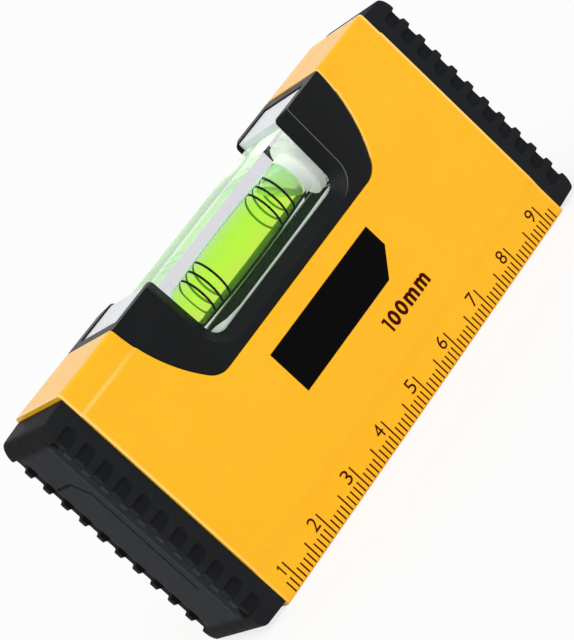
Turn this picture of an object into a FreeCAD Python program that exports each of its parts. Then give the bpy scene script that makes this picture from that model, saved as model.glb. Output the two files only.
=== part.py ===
"""Magnetic pocket level, 100 mm: a box section of aluminium with a clear block vial in its top edge.

X runs along the level, -Y is the side with the ruler, +Z is up, and the magnetic base lies on Z = 0.
Every driving size is a cell of the sheet, in millimetres, and every other size is worked out from those.
"""

import FreeCAD
import Part
import Sketcher
import math
import os

SIZES = {
    # Box section
    "tube_length": 88.4,
    "tube_height": 48.8,
    "tube_depth": 18.3,
    "tube_wall": 1.6,
    "tube_corner": 1.3,
    "tube_inner_corner": 0.6,
    "field_rise": 0.25,
    "field_foot": 6.7,
    "field_head": 4.9,
    # Cut-out for the vial, a slice of a round hole with a flat floor
    "cutout_radius": 30.1,
    "cutout_centre_rise": 0.7,
    "cutout_depth": 18.4,
    "cutout_corner": 4.4,
    # Black surrounds
    "surround_gap": 0.1,
    "surround_plate": 2.2,
    "surround_rim": 2.4,
    "surround_drop": 0.15,
    "surround_corner": 0.7,
    "window_side": 11.75,
    "window_lean": 0.5,
    "window_depth": 14.6,
    "window_corner": 2.6,
    "window_lip_corner": 0.5,
    "bevel_width": 2.2,
    "bevel_depth": 2.0,
    "halves_gap": 0.1,
    # Translucent carrier and clear vial block
    "carrier_drop": 0.4,
    "carrier_gap": 0.1,
    "block_overlap": 0.65,
    "block_play": 0.15,
    "block_drop": 1.8,
    "block_edge": 0.4,
    "seat_gap": 0.05,
    # Vial bore, worked out from its barrel
    "vial_depth": 8.8,
    "vial_centre": -0.7,
    "bore_radius": 4.35,
    "barrel_radius": 260.0,
    "bore_end_wall": 2.2,
    "bore_tip_radius": 2.3,
    "bore_tip_length": 1.4,
    "plug_reach": 4.05,
    "plug_cup_length": 1.4,
    "plug_rim": 0.15,
    "plug_flange_radius": 5.0,
    "plug_flange": 0.95,
    "plug_gap": 0.03,
    # Index rings in the bore
    "ring_setback": 7.77,
    "ring_pitch": 2.04,
    "ring_width": 0.3,
    "ring_thickness": 0.05,
    "ring_inset": 0.05,
    # Liquid and air
    "liquid_gap": 0.12,
    "air_gap": 0.15,
    "air_length": 3.35,
    "surface_half_run": 6.0,
    "surface_half_rise": 8.1,
    # End caps
    "cap_length": 5.9,
    "cap_side_margin": 0.15,
    "cap_margin": 0.7,
    "cap_fall": 0.3,
    "cap_top_bevel": 2.1,
    "cap_base_bevel": 1.5,
    "cap_edge_round": 1.0,
    "cap_seat": 0.05,
    "spigot_length": 8.0,
    "spigot_wall": 1.5,
    "spigot_gap": 0.1,
    "grip_relief": 0.6,
    "grip_channel_margin": 1.8,
    "grip_channel_width": 2.55,
    "grip_channel_end": 4.3,
    "notch_height": 2.4,
    "notch_margin": 4.2,
    "notch_start": 2.3,
    "notch_ramp": 0.5,
    "plate_line_width": 0.4,
    "plate_line_depth": 0.25,
    "plate_line_side": 3.35,
    "plate_line_head": 11.4,
    "plate_line_foot": 11.8,
    "plate_line_corner": 3.0,
    # Magnets in the base
    "magnet_radius": 5.0,
    "magnet_height": 3.0,
    "magnet_recess": 0.2,
    "magnet_inset": 20.2,
    "magnet_gap": 0.1,
    "holder_half_length": 7.5,
    "holder_roof": 1.6,
    "holder_gap": 0.05,
    # Reach of a cutting tool past the surface that it opens
    "overrun": 2.0,
}
NOTCHES = 11
RINGS_PER_SIDE = 3
PARTS_FOLDER = "parts"
MATCH_SHARE = 1e-5
STRAIGHT = 1e-6


class Size:
    """A number together with the sheet expression that gives it, so a formula is written once."""

    def __init__(self, value, text):
        self.value = float(value)
        self.text = text

    def __add__(self, other):
        other = as_size(other)
        return Size(self.value + other.value, f"({self.text} + {other.text})")

    def __sub__(self, other):
        other = as_size(other)
        return Size(self.value - other.value, f"({self.text} - {other.text})")

    def __mul__(self, other):
        other = as_size(other)
        return Size(self.value * other.value, f"({self.text} * {other.text})")

    def __truediv__(self, other):
        other = as_size(other)
        return Size(self.value / other.value, f"({self.text} / {other.text})")

    def __neg__(self):
        return Size(-self.value, f"(0 - {self.text})")


def as_size(number):
    """Take a plain factor, or a zero, as a Size."""
    return number if isinstance(number, Size) else Size(number, str(number))


def root(size):
    """The square root of a Size."""
    return Size(math.sqrt(size.value), f"sqrt({size.text})")


def fill_sheet(document):
    """Write the driving sizes to the sheet and return them as Sizes by name."""
    sheet = document.addObject("Spreadsheet::Sheet", "sizes")
    found = {}
    for row, (name, value) in enumerate(SIZES.items(), start=1):
        sheet.set(f"A{row}", name)
        sheet.set(f"B{row}", str(value))
        sheet.setAlias(f"B{row}", name)
        found[name] = Size(value, f"sizes.{name}")
    document.recompute()
    return found


DOCUMENT = FreeCAD.newDocument("pocket_level")
S = fill_sheet(DOCUMENT)
ZERO = as_size(0)

# Places that several pieces share
HALF_TUBE = S["tube_length"] / 2
HALF_DEPTH = S["tube_depth"] / 2
FACE = HALF_DEPTH + S["field_rise"]
PLATE_BACK = FACE - S["surround_plate"]
TOP = S["tube_height"]
FIELD_LOW = S["field_foot"]
FIELD_HIGH = TOP - S["field_head"]
CUTOUT_CENTRE = TOP + S["cutout_centre_rise"]
CUTOUT_FLOOR = TOP - S["cutout_depth"]
WINDOW_FLOOR = TOP - S["window_depth"]
SURROUND_TOP = TOP - S["surround_drop"]
CARRIER_TOP = TOP - S["carrier_drop"]
WINDOW_TOP_HALF = S["cutout_radius"] - S["window_side"]
WINDOW_FLOOR_HALF = WINDOW_TOP_HALF - S["window_lean"]
BLOCK_END = WINDOW_TOP_HALF + S["block_overlap"]
BLOCK_HALF_DEPTH = PLATE_BACK - S["block_play"]
RING_FIRST = BLOCK_END - S["ring_setback"] - S["vial_centre"] - S["ring_pitch"] * (RINGS_PER_SIDE - 1)
BLOCK_TOP = TOP - S["block_drop"]
BORE_LEFT = S["bore_end_wall"] - BLOCK_END
NOSE = BLOCK_END - S["plug_reach"]
VIAL_HEIGHT = TOP - S["vial_depth"]
FLANGE_FACE = BLOCK_END - S["plug_flange"] - S["seat_gap"]
CAP_BASE = HALF_TUBE + S["cap_seat"]
CAP_END = HALF_TUBE + S["cap_length"]
CAP_HALF_DEPTH = HALF_DEPTH - S["cap_side_margin"]
CHANNEL_OUTER = CAP_HALF_DEPTH - S["grip_channel_margin"]
CHANNEL_INNER = CHANNEL_OUTER - S["grip_channel_width"]
CAP_LOW = S["cap_margin"]
CAP_HIGH = TOP - S["cap_margin"]
MAGNET_REACH = HALF_TUBE - S["magnet_inset"]


def tie(thing, name, size):
    """Bind a property or a named constraint to the sheet."""
    thing.setExpression(name, size.text)


def hold(sketch, kind, name, where, size):
    """Add a constraint to a sketch, with its size bound to the sheet."""
    number = sketch.addConstraint(Sketcher.Constraint(kind, *where, size.value))
    sketch.renameConstraint(number, name)
    tie(sketch, f"Constraints.{name}", size)


def pin(sketch, index, point, spot):
    """Hold one point of a sketch's geometry at a place measured from the origin."""
    hold(sketch, "DistanceX", f"x_{index}_{point}", (-1, 1, index, point), spot[0])
    hold(sketch, "DistanceY", f"y_{index}_{point}", (-1, 1, index, point), spot[1])


def new_body(label, turn=0):
    """Start a body whose label is its node's name, turned about Z by so many degrees."""
    body = DOCUMENT.addObject("PartDesign::Body", label)
    body.Label = label
    body.Placement = FreeCAD.Placement(FreeCAD.Vector(), FreeCAD.Rotation(turn, 0, 0))
    return body


def origin_feature(body, role):
    """One of the body's own origin planes or axes."""
    return next(feature for feature in body.Origin.OriginFeatures if feature.Role == role)


def new_sketch(body, name, role, along=None, shift_x=None, shift_y=None):
    """A sketch on an origin plane of its body, moved along the plane's normal or within the plane."""
    sketch = body.newObject("Sketcher::SketchObject", f"{body.Name}_{name}")
    sketch.AttachmentSupport = [(origin_feature(body, role), "")]
    sketch.MapMode = "FlatFace"
    for axis, move in (("x", shift_x), ("y", shift_y), ("z", along)):
        if move is not None:
            tie(sketch, f"AttachmentOffset.Base.{axis}", move)
    return sketch


class Outline:
    """One closed outline of a sketch, with every corner pinned to the sheet."""

    def __init__(self, sketch, x, y):
        self.sketch = sketch
        self.here = (as_size(x), as_size(y))
        self.start = self.here
        self.first = None
        self.last_end = None

    def join(self, index, near, far, spot):
        """Join new geometry to the outline so far and pin its far end, unless it closes the outline."""
        if self.last_end is None:
            pin(self.sketch, index, near, self.here)
            self.first = (index, near)
        else:
            self.sketch.addConstraint(Sketcher.Constraint("Coincident", *self.last_end, index, near))
        if spot == self.start:
            self.sketch.addConstraint(Sketcher.Constraint("Coincident", index, far, *self.first))
        else:
            pin(self.sketch, index, far, spot)
        self.last_end = (index, far)
        self.here = spot

    def line(self, x, y):
        """A straight run to a corner."""
        self.line_to((as_size(x), as_size(y)))

    def line_to(self, spot):
        """A straight run to a place."""
        ends = [FreeCAD.Vector(a.value, b.value, 0) for a, b in (self.here, spot)]
        index = self.sketch.addGeometry(Part.LineSegment(*ends), False)
        self.join(index, 1, 2, spot)

    def arc(self, x, y, centre, radius, left_turn=True):
        """A round run to a corner about a centre, turning left or right."""
        spot = (as_size(x), as_size(y))
        middle = FreeCAD.Vector(centre[0].value, centre[1].value, 0)
        ends = [FreeCAD.Vector(a.value, b.value, 0) - middle for a, b in (self.here, spot)]
        angles = [math.atan2(end.y, end.x) for end in ends]
        near, far = 1, 2
        if not left_turn:
            angles.reverse()
            near, far = 2, 1
        circle = Part.Circle(middle, FreeCAD.Vector(0, 0, 1), radius.value)
        index = self.sketch.addGeometry(Part.ArcOfCircle(circle, *angles), False)
        self.join(index, near, far, spot)
        hold(self.sketch, "Radius", f"radius_{index}", (index,), radius)

    def close(self):
        """The last straight run, back to the first corner."""
        self.line_to(self.start)


def polygon(sketch, corners):
    """A closed outline of straight runs through the corners."""
    outline = Outline(sketch, *corners[0])
    for x, y in corners[1:]:
        outline.line(x, y)
    outline.close()


def rectangle(sketch, low_x, low_y, high_x, high_y):
    """A closed rectangle between two corners."""
    polygon(sketch, [(low_x, low_y), (high_x, low_y), (high_x, high_y), (low_x, high_y)])


def round_hole(sketch, x, y, radius):
    """A full circle of the sketch."""
    spot = (as_size(x), as_size(y))
    centre = FreeCAD.Vector(spot[0].value, spot[1].value, 0)
    index = sketch.addGeometry(Part.Circle(centre, FreeCAD.Vector(0, 0, 1), radius.value), False)
    pin(sketch, index, 3, spot)
    hold(sketch, "Radius", f"radius_{index}", (index,), radius)


def feature(body, kind, name, sketch, **sizes):
    """A sketch-based feature of the body, its sizes bound to the sheet."""
    made = body.newObject(f"PartDesign::{kind}", f"{body.Name}_{name}")
    made.Profile = sketch
    for size_name, size in sizes.items():
        tie(made, size_name, size)
    return made


def pad(body, name, sketch, length, midplane=False, reverse=False):
    """Add the sketch's outline over a length."""
    made = feature(body, "Pad", name, sketch, Length=length)
    made.Midplane = midplane
    made.Reversed = reverse
    DOCUMENT.recompute()
    return made


def pocket(body, name, sketch, length, midplane=False, reverse=False):
    """Cut the sketch's outline over a length."""
    made = feature(body, "Pocket", name, sketch, Length=length)
    made.Midplane = midplane
    made.Reversed = reverse
    DOCUMENT.recompute()
    return made


def revolve(body, name, sketch, cut=False):
    """Turn the sketch's outline about its own horizontal axis, to add or to cut."""
    made = feature(body, "Groove" if cut else "Revolution", name, sketch)
    made.ReferenceAxis = (sketch, ["H_Axis"])
    made.Angle = 360
    DOCUMENT.recompute()
    return made


def chosen_edges(shape, test):
    """The names of the shape's edges that pass a test."""
    return [f"Edge{number}" for number, edge in enumerate(shape.Edges, start=1) if test(edge)]


def dress(body, kind, name, test, **sizes):
    """A fillet or chamfer on the chosen edges of the body."""
    base = body.Tip
    made = body.newObject(f"PartDesign::{kind}", f"{body.Name}_{name}")
    made.Base = (base, chosen_edges(base.Shape, test))
    for size_name, size in sizes.items():
        tie(made, size_name, size)
    DOCUMENT.recompute()
    return made


def near(number, size):
    """Whether a number read from a shape is the size."""
    return abs(number - size.value) < MATCH_SHARE * S["tube_length"].value


def runs_along(edge, axis):
    """Whether an edge is straight and parallel to an axis, x, y or z."""
    if not isinstance(edge.Curve, Part.Line):
        return False
    others = [name for name in "xyz" if name != axis]
    return all(abs(getattr(edge.Curve.Direction, name)) < STRAIGHT for name in others)


def middle_of(edge):
    """The point halfway along an edge."""
    return edge.valueAt((edge.FirstParameter + edge.LastParameter) / 2)


def circle_half_width(radius, height):
    """Half the width of the cut-out's circle, or of one about its centre, at a height."""
    rise = height - CUTOUT_CENTRE
    return root(radius * radius - rise * rise)


def draw_round_slice(sketch, radius, floor, top):
    """The cut-out's form: a slice of a circle between a flat floor and a flat top."""
    centre = (ZERO, CUTOUT_CENTRE)
    floor_half = circle_half_width(radius, floor)
    top_half = circle_half_width(radius, top)
    outline = Outline(sketch, -floor_half, floor)
    outline.line(floor_half, floor)
    outline.arc(top_half, top, centre, radius)
    outline.line(-top_half, top)
    outline.arc(*outline.start, centre, radius)


def corner_at(edge, half_width, height):
    """Whether an edge runs along Y at a corner of a symmetrical outline."""
    point = middle_of(edge)
    return runs_along(edge, "y") and near(abs(point.x), half_width) and near(point.z, height)


def make_tube():
    """The box section, with a raised field on each side, the cut-out and the magnets' holes."""
    body = new_body("body_tube")
    section = new_sketch(body, "section", "YZ_Plane")
    step = S["field_rise"]
    polygon(section, [
        (-HALF_DEPTH, ZERO), (HALF_DEPTH, ZERO),
        (HALF_DEPTH, FIELD_LOW), (FACE, FIELD_LOW + step),
        (FACE, FIELD_HIGH - step), (HALF_DEPTH, FIELD_HIGH),
        (HALF_DEPTH, TOP), (-HALF_DEPTH, TOP),
        (-HALF_DEPTH, FIELD_HIGH), (-FACE, FIELD_HIGH - step),
        (-FACE, FIELD_LOW + step), (-HALF_DEPTH, FIELD_LOW),
    ])
    inside = HALF_DEPTH - S["tube_wall"]
    rectangle(section, -inside, S["tube_wall"], inside, TOP - S["tube_wall"])
    pad(body, "extrusion", section, S["tube_length"], midplane=True)

    def outer_corner(edge):
        point = middle_of(edge)
        return runs_along(edge, "x") and near(abs(point.y), HALF_DEPTH) and (
            near(point.z, ZERO) or near(point.z, TOP))

    def inner_corner(edge):
        point = middle_of(edge)
        return runs_along(edge, "x") and near(abs(point.y), inside)

    dress(body, "Fillet", "corners", outer_corner, Radius=S["tube_corner"])
    dress(body, "Fillet", "inner_corners", inner_corner, Radius=S["tube_inner_corner"])

    cutout = new_sketch(body, "cutout", "XZ_Plane")
    radius = S["cutout_radius"]
    middle = (ZERO, CUTOUT_CENTRE)
    floor_half = circle_half_width(radius, CUTOUT_FLOOR)
    outline = Outline(cutout, -floor_half, CUTOUT_FLOOR)
    outline.line(floor_half, CUTOUT_FLOOR)
    outline.arc(radius, CUTOUT_CENTRE, middle, radius)
    outline.line(radius, TOP + S["overrun"])
    outline.line(-radius, TOP + S["overrun"])
    outline.line(-radius, CUTOUT_CENTRE)
    outline.arc(*outline.start, middle, radius)
    pocket(body, "vial_cutout", cutout, (FACE + S["overrun"]) * 2, midplane=True)
    dress(body, "Fillet", "cutout_corners",
          lambda edge: corner_at(edge, floor_half, CUTOUT_FLOOR), Radius=S["cutout_corner"])

    holes = new_sketch(body, "magnet_holes", "XY_Plane")
    for side in (-1, 1):
        round_hole(holes, MAGNET_REACH * side, ZERO, S["magnet_radius"] + S["magnet_gap"])
    pocket(body, "magnet_seats", holes, S["tube_wall"] * 2, midplane=True)
    return body


def make_surround(label, turn):
    """A black surround: a plate with a bevelled window, its rim returning into the cut-out."""
    body = new_body(label, turn)
    radius = S["cutout_radius"] - S["surround_gap"]
    floor = CUTOUT_FLOOR + S["surround_gap"]
    blank = new_sketch(body, "blank", "XZ_Plane", along=S["halves_gap"] / 2)
    draw_round_slice(blank, radius, floor, SURROUND_TOP)
    pad(body, "shell", blank, FACE - S["halves_gap"] / 2)

    floor_half = circle_half_width(radius, floor)
    top_half = circle_half_width(radius, SURROUND_TOP)
    dress(body, "Fillet", "floor_corners",
          lambda edge: corner_at(edge, floor_half, floor), Radius=S["cutout_corner"])
    dress(body, "Fillet", "top_corners",
          lambda edge: corner_at(edge, top_half, SURROUND_TOP), Radius=S["surround_corner"])

    inner_radius = radius - S["surround_rim"]
    inner_floor = floor + S["surround_rim"]
    room = new_sketch(body, "room", "XZ_Plane")
    draw_round_slice(room, inner_radius, inner_floor, TOP + S["surround_gap"])
    pocket(body, "carrier_room", room, PLATE_BACK, reverse=True)

    window = new_sketch(body, "window", "XZ_Plane")
    lip = SURROUND_TOP
    polygon(window, [
        (-WINDOW_FLOOR_HALF, WINDOW_FLOOR), (WINDOW_FLOOR_HALF, WINDOW_FLOOR),
        (WINDOW_TOP_HALF, lip), (WINDOW_TOP_HALF, TOP + S["overrun"]),
        (-WINDOW_TOP_HALF, TOP + S["overrun"]), (-WINDOW_TOP_HALF, lip),
    ])
    pocket(body, "window_opening", window, FACE + S["overrun"], reverse=True)
    dress(body, "Fillet", "window_corners",
          lambda edge: corner_at(edge, WINDOW_FLOOR_HALF, WINDOW_FLOOR), Radius=S["window_corner"])

    def window_rim(edge):
        point = middle_of(edge)
        inside = abs(point.x) < WINDOW_TOP_HALF.value and point.z < lip.value - S["window_lip_corner"].value
        return near(point.y, -FACE) and inside and point.z > floor.value + S["surround_gap"].value

    bevel = dress(body, "Chamfer", "window_bevel", window_rim)
    bevel.ChamferType = "Two distances"
    tie(bevel, "Size", S["bevel_width"])
    tie(bevel, "Size2", S["bevel_depth"])
    bevel.FlipDirection = False
    DOCUMENT.recompute()

    def lip_edge(edge):
        point = middle_of(edge)
        in_top = near(point.z, lip) and not runs_along(edge, "x") and not runs_along(edge, "y")
        return in_top and abs(point.x) < (WINDOW_TOP_HALF + S["bevel_width"]).value

    dress(body, "Fillet", "lip_corners", lip_edge, Radius=S["window_lip_corner"])
    return body


def make_carrier():
    """The translucent cradle between the surrounds, open at the top for the vial block."""
    body = new_body("vial_carrier")
    step = S["surround_gap"] + S["surround_rim"] + S["carrier_gap"]
    radius = S["cutout_radius"] - step
    floor = CUTOUT_FLOOR + step
    depth = (PLATE_BACK - S["seat_gap"]) * 2
    blank = new_sketch(body, "blank", "XZ_Plane")
    draw_round_slice(blank, radius, floor, CARRIER_TOP)
    pad(body, "cradle", blank, depth, midplane=True)
    nest = new_sketch(body, "nest", "XZ_Plane")
    nest_half = BLOCK_END + S["seat_gap"]
    rectangle(nest, -nest_half, WINDOW_FLOOR - S["seat_gap"], nest_half, TOP)
    pocket(body, "block_nest", nest, depth + S["overrun"], midplane=True)
    return body


def barrel_radius_at(x):
    """The bore's radius at a place along X: widest at its centre, so the bubble settles there."""
    run = x - S["vial_centre"]
    return S["bore_radius"] - run * run / (S["barrel_radius"] * 2)


def draw_bore(outline, left, right, inset, crown):
    """The blind end and the barrel of the bore, in straight runs that follow the barrel's curve."""
    shoulder = left + S["bore_tip_length"]
    outline.line(left, S["bore_tip_radius"] - inset)
    places = [shoulder, S["vial_centre"] - RING_FIRST, S["vial_centre"] + RING_FIRST, right]
    if crown:
        places.insert(2, S["vial_centre"])
    for place in places:
        outline.line(place, barrel_radius_at(place) - inset)


def vial_sketch(body, name):
    """A sketch whose horizontal axis is the vial's axis."""
    return new_sketch(body, name, "XZ_Plane", shift_y=VIAL_HEIGHT)


def ring_places():
    """Where the index rings stand along X, left to right."""
    steps = [RING_FIRST + S["ring_pitch"] * number for number in range(RINGS_PER_SIDE)]
    return [S["vial_centre"] - step for step in reversed(steps)] + [S["vial_centre"] + step for step in steps]


def make_block():
    """The clear block, with its blind barrel bore and the seat of the plug."""
    body = new_body("vial_block")
    plan = new_sketch(body, "plan", "XY_Plane", along=WINDOW_FLOOR)
    rectangle(plan, -BLOCK_END, -BLOCK_HALF_DEPTH, BLOCK_END, BLOCK_HALF_DEPTH)
    pad(body, "block", plan, BLOCK_TOP - WINDOW_FLOOR)
    dress(body, "Chamfer", "edges",
          lambda edge: runs_along(edge, "x") and near(middle_of(edge).z, BLOCK_TOP),
          Size=S["block_edge"])

    bore = vial_sketch(body, "bore")
    seat = S["plug_flange_radius"] + S["plug_gap"]
    outline = Outline(bore, BORE_LEFT, ZERO)
    draw_bore(outline, BORE_LEFT, NOSE, ZERO, crown=True)
    outline.line(FLANGE_FACE, barrel_radius_at(NOSE))
    outline.line(FLANGE_FACE, seat)
    outline.line(BLOCK_END + S["overrun"], seat)
    outline.line(BLOCK_END + S["overrun"], ZERO)
    outline.close()
    revolve(body, "bore_cut", bore, cut=True)
    return body


def make_ring(number, place):
    """One black index ring, printed as a thin band round the bore."""
    body = new_body(f"index_ring_{number}")
    section = vial_sketch(body, "section")
    outer = barrel_radius_at(place) - S["ring_inset"]
    half_width = S["ring_width"] / 2
    rectangle(section, place - half_width, outer - S["ring_thickness"], place + half_width, outer)
    revolve(body, "ring", section)
    return body


def make_plug():
    """The plug that closes the bore: a flange in the block's end and a spigot with a coned cup."""
    body = new_body("vial_plug")
    section = vial_sketch(body, "section")
    spigot = barrel_radius_at(NOSE) - S["plug_gap"]
    cup_floor = NOSE + S["plug_cup_length"]
    flange_front = FLANGE_FACE + S["plug_gap"]
    polygon(section, [
        (cup_floor, ZERO), (cup_floor, S["bore_tip_radius"]),
        (NOSE, spigot - S["plug_rim"]), (NOSE, spigot), (flange_front, spigot),
        (flange_front, S["plug_flange_radius"]),
        (BLOCK_END, S["plug_flange_radius"]), (BLOCK_END, ZERO),
    ])
    revolve(body, "plug", section)
    return body


def draw_above_surface(sketch, shift, above):
    """The space on one side of the liquid's tilted surface, moved by so much along X."""
    reach = NOSE - S["air_length"] + shift
    run = S["surface_half_run"]
    rise = S["surface_half_rise"]
    far = run * 3 if above else -(run * 6)
    polygon(sketch, [
        (reach - run, rise), (reach + run, -rise),
        (reach + run + far, -rise), (reach - run + far, rise),
    ])


def make_liquid():
    """The liquid of the vial, up to its surface, with the air lying against the plug."""
    body = new_body("vial_liquid")
    chamber = vial_sketch(body, "chamber")
    gap = S["liquid_gap"]
    cup_floor = NOSE + S["plug_cup_length"] - gap
    outline = Outline(chamber, BORE_LEFT + gap, ZERO)
    draw_bore(outline, BORE_LEFT + gap, NOSE - gap, gap, crown=False)
    outline.line(NOSE - gap, barrel_radius_at(NOSE) - S["plug_rim"] - gap)
    outline.line(cup_floor, S["bore_tip_radius"] - gap)
    outline.line(cup_floor, ZERO)
    outline.close()
    revolve(body, "filling", chamber)
    surface = vial_sketch(body, "surface")
    draw_above_surface(surface, -S["air_gap"], above=True)
    pocket(body, "air_space", surface, S["bore_radius"] * 3, midplane=True)
    return body


def make_bubble():
    """The air bubble, which slides along the bore under the barrel's crown."""
    body = new_body("air_bubble")
    section = vial_sketch(body, "section")
    gap = S["air_gap"]
    radius = barrel_radius_at(NOSE) - S["plug_rim"] - gap
    start = NOSE - S["air_length"] - S["surface_half_run"]
    rectangle(section, start, ZERO, NOSE - gap, radius)
    revolve(body, "air", section)
    surface = vial_sketch(body, "surface")
    draw_above_surface(surface, ZERO, above=False)
    pocket(body, "under_air", surface, S["bore_radius"] * 3, midplane=True)
    return body


def draw_notch(sketch, side):
    """The outline of a grip notch seen from above, round the front or the back edge of the cap."""
    relief = S["grip_relief"]
    start = HALF_TUBE + S["notch_start"]
    beyond = CAP_HALF_DEPTH + S["overrun"]
    floor = CAP_HALF_DEPTH - relief
    end_floor = CAP_END - relief
    corners = [
        (start, CAP_HALF_DEPTH), (start + S["notch_ramp"], floor), (end_floor, floor),
        (end_floor, CHANNEL_INNER), (CAP_END + S["overrun"], CHANNEL_INNER),
        (CAP_END + S["overrun"], beyond), (start, beyond),
    ]
    if side < 0:
        corners = [(x, -y) for x, y in reversed(corners)]
    polygon(sketch, corners)


def make_cap(label, turn):
    """An end cap: a hollow spigot in the tube and a rounded head with wrapped grip notches."""
    body = new_body(label, turn)
    profile = new_sketch(body, "profile", "XZ_Plane")
    drafted_low = CAP_LOW + S["cap_fall"]
    drafted_high = CAP_HIGH - S["cap_fall"]
    polygon(profile, [
        (CAP_BASE, CAP_LOW), (CAP_END - S["cap_base_bevel"], drafted_low),
        (CAP_END, drafted_low + S["cap_base_bevel"]), (CAP_END, drafted_high - S["cap_top_bevel"]),
        (CAP_END - S["cap_top_bevel"], drafted_high), (CAP_BASE, CAP_HIGH),
    ])
    pad(body, "head", profile, CAP_HALF_DEPTH * 2, midplane=True)

    def side_edge(edge):
        point = middle_of(edge)
        return near(abs(point.y), CAP_HALF_DEPTH) and not near(point.x, CAP_BASE)

    dress(body, "Fillet", "side_rounds", side_edge, Radius=S["cap_edge_round"])

    spigot = new_sketch(body, "spigot", "YZ_Plane", along=CAP_BASE)
    half = HALF_DEPTH - S["tube_wall"] - S["spigot_gap"]
    foot = S["tube_wall"] + S["spigot_gap"]
    head = TOP - foot
    wall = S["spigot_wall"]
    rectangle(spigot, -half, foot, half, head)
    rectangle(spigot, wall - half, foot + wall, half - wall, head - wall)
    pad(body, "spigot_walls", spigot, S["spigot_length"] + S["cap_seat"], reverse=True)

    def spigot_edge(edge):
        point = middle_of(edge)
        return runs_along(edge, "x") and near(abs(point.y), half) and (
            near(point.z, foot) or near(point.z, head))

    dress(body, "Chamfer", "spigot_edges", spigot_edge, Size=S["tube_inner_corner"])

    channels = new_sketch(body, "channels", "YZ_Plane", along=CAP_END)
    channel_low = CAP_LOW + S["grip_channel_end"]
    channel_high = CAP_HIGH - S["grip_channel_end"]
    rectangle(channels, -CHANNEL_OUTER, channel_low, -CHANNEL_INNER, channel_high)
    rectangle(channels, CHANNEL_INNER, channel_low, CHANNEL_OUTER, channel_high)
    pocket(body, "grip_channels", channels, S["grip_relief"])

    lowest = CAP_LOW + S["notch_margin"]
    span = CAP_HIGH - S["notch_margin"] - lowest
    notch = new_sketch(body, "notch", "XY_Plane", along=lowest)
    draw_notch(notch, -1)
    draw_notch(notch, 1)
    first = pocket(body, "first_notch", notch, S["notch_height"], midplane=True)
    row = body.newObject("PartDesign::LinearPattern", f"{body.Name}_notch_row")
    row.Originals = [first]
    row.Direction = (origin_feature(body, "Z_Axis"), [""])
    tie(row, "Length", span)
    row.Occurrences = NOTCHES
    body.Tip = row
    DOCUMENT.recompute()

    line = new_sketch(body, "plate_line", "YZ_Plane", along=CAP_END)
    half_line = S["plate_line_width"] / 2
    side = S["plate_line_side"]
    foot = S["plate_line_foot"]
    top = TOP - S["plate_line_head"]
    cut = S["plate_line_corner"]
    polygon(line, [
        (-CHANNEL_INNER, top + half_line), (side - cut + half_line, top + half_line),
        (side + half_line, top - cut + half_line), (side + half_line, foot),
        (side - half_line, foot), (side - half_line, top - cut - half_line),
        (side - cut - half_line, top - half_line), (-CHANNEL_INNER, top - half_line),
    ])
    pocket(body, "plate_groove", line, S["plate_line_depth"])
    return body


def make_magnet(label, side):
    """A disc magnet, set a little above the base's plane."""
    magnet = DOCUMENT.addObject("Part::Cylinder", label)
    magnet.Label = label
    tie(magnet, "Radius", S["magnet_radius"])
    tie(magnet, "Height", S["magnet_height"])
    tie(magnet, "Placement.Base.x", MAGNET_REACH * side)
    tie(magnet, "Placement.Base.z", S["magnet_recess"])
    return magnet


def make_holder(label, side):
    """The moulded holder that presses between the tube's walls and backs one magnet."""
    body = new_body(label)
    floor = S["tube_wall"] + S["holder_gap"]
    plan = new_sketch(body, "plan", "XY_Plane", along=floor)
    half_length = S["holder_half_length"]
    half_depth = HALF_DEPTH - S["tube_wall"] - S["holder_gap"]
    centre = MAGNET_REACH * side
    rectangle(plan, centre - half_length, -half_depth, centre + half_length, half_depth)
    magnet_top = S["magnet_recess"] + S["magnet_height"]
    pad(body, "holder", plan, magnet_top + S["holder_gap"] + S["holder_roof"] - floor)
    dress(body, "Chamfer", "floor_edges",
          lambda edge: runs_along(edge, "x") and near(middle_of(edge).z, floor),
          Size=S["tube_inner_corner"])
    seat = new_sketch(body, "seat", "XY_Plane", along=floor)
    round_hole(seat, centre, ZERO, S["magnet_radius"] + S["magnet_gap"])
    pocket(body, "magnet_seat", seat, magnet_top + S["holder_gap"] - floor, reverse=True)
    return body


def build_parts():
    """Make every piece of the level."""
    parts = [
        make_tube(),
        make_cap("end_cap_right", 0),
        make_cap("end_cap_left", 180),
        make_surround("front_surround", 0),
        make_surround("rear_surround", 180),
        make_carrier(),
        make_block(),
        make_plug(),
        make_liquid(),
        make_bubble(),
    ]
    for number, place in enumerate(ring_places(), start=1):
        parts.append(make_ring(number, place))
    for name, side in (("left", -1), ("right", 1)):
        parts.append(make_magnet(f"base_magnet_{name}", side))
        parts.append(make_holder(f"magnet_holder_{name}", side))
    return parts


def check(parts):
    """Stop at any object that failed, and at any piece that isn't one sound solid."""
    DOCUMENT.recompute()
    for thing in DOCUMENT.Objects:
        if "Invalid" in thing.State or "Error" in thing.State:
            raise RuntimeError(f"{thing.Name} did not build: {thing.State}")
    for part in parts:
        shape = part.Shape
        if not shape.isValid() or len(shape.Solids) != 1:
            raise RuntimeError(f"{part.Label} has {len(shape.Solids)} solids, valid {shape.isValid()}")
        box = shape.BoundBox
        FreeCAD.Console.PrintMessage(
            f"{part.Label}: {shape.Volume:.1f} mm3, {box.XLength:.2f} x {box.YLength:.2f} x {box.ZLength:.2f}\n")


def export(parts):
    """Write each piece to its own file."""
    os.makedirs(PARTS_FOLDER, exist_ok=True)
    for part in parts:
        part.Shape.exportStep(f"{PARTS_FOLDER}/{part.Label}.step")


PARTS = build_parts()
check(PARTS)
export(PARTS)
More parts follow.
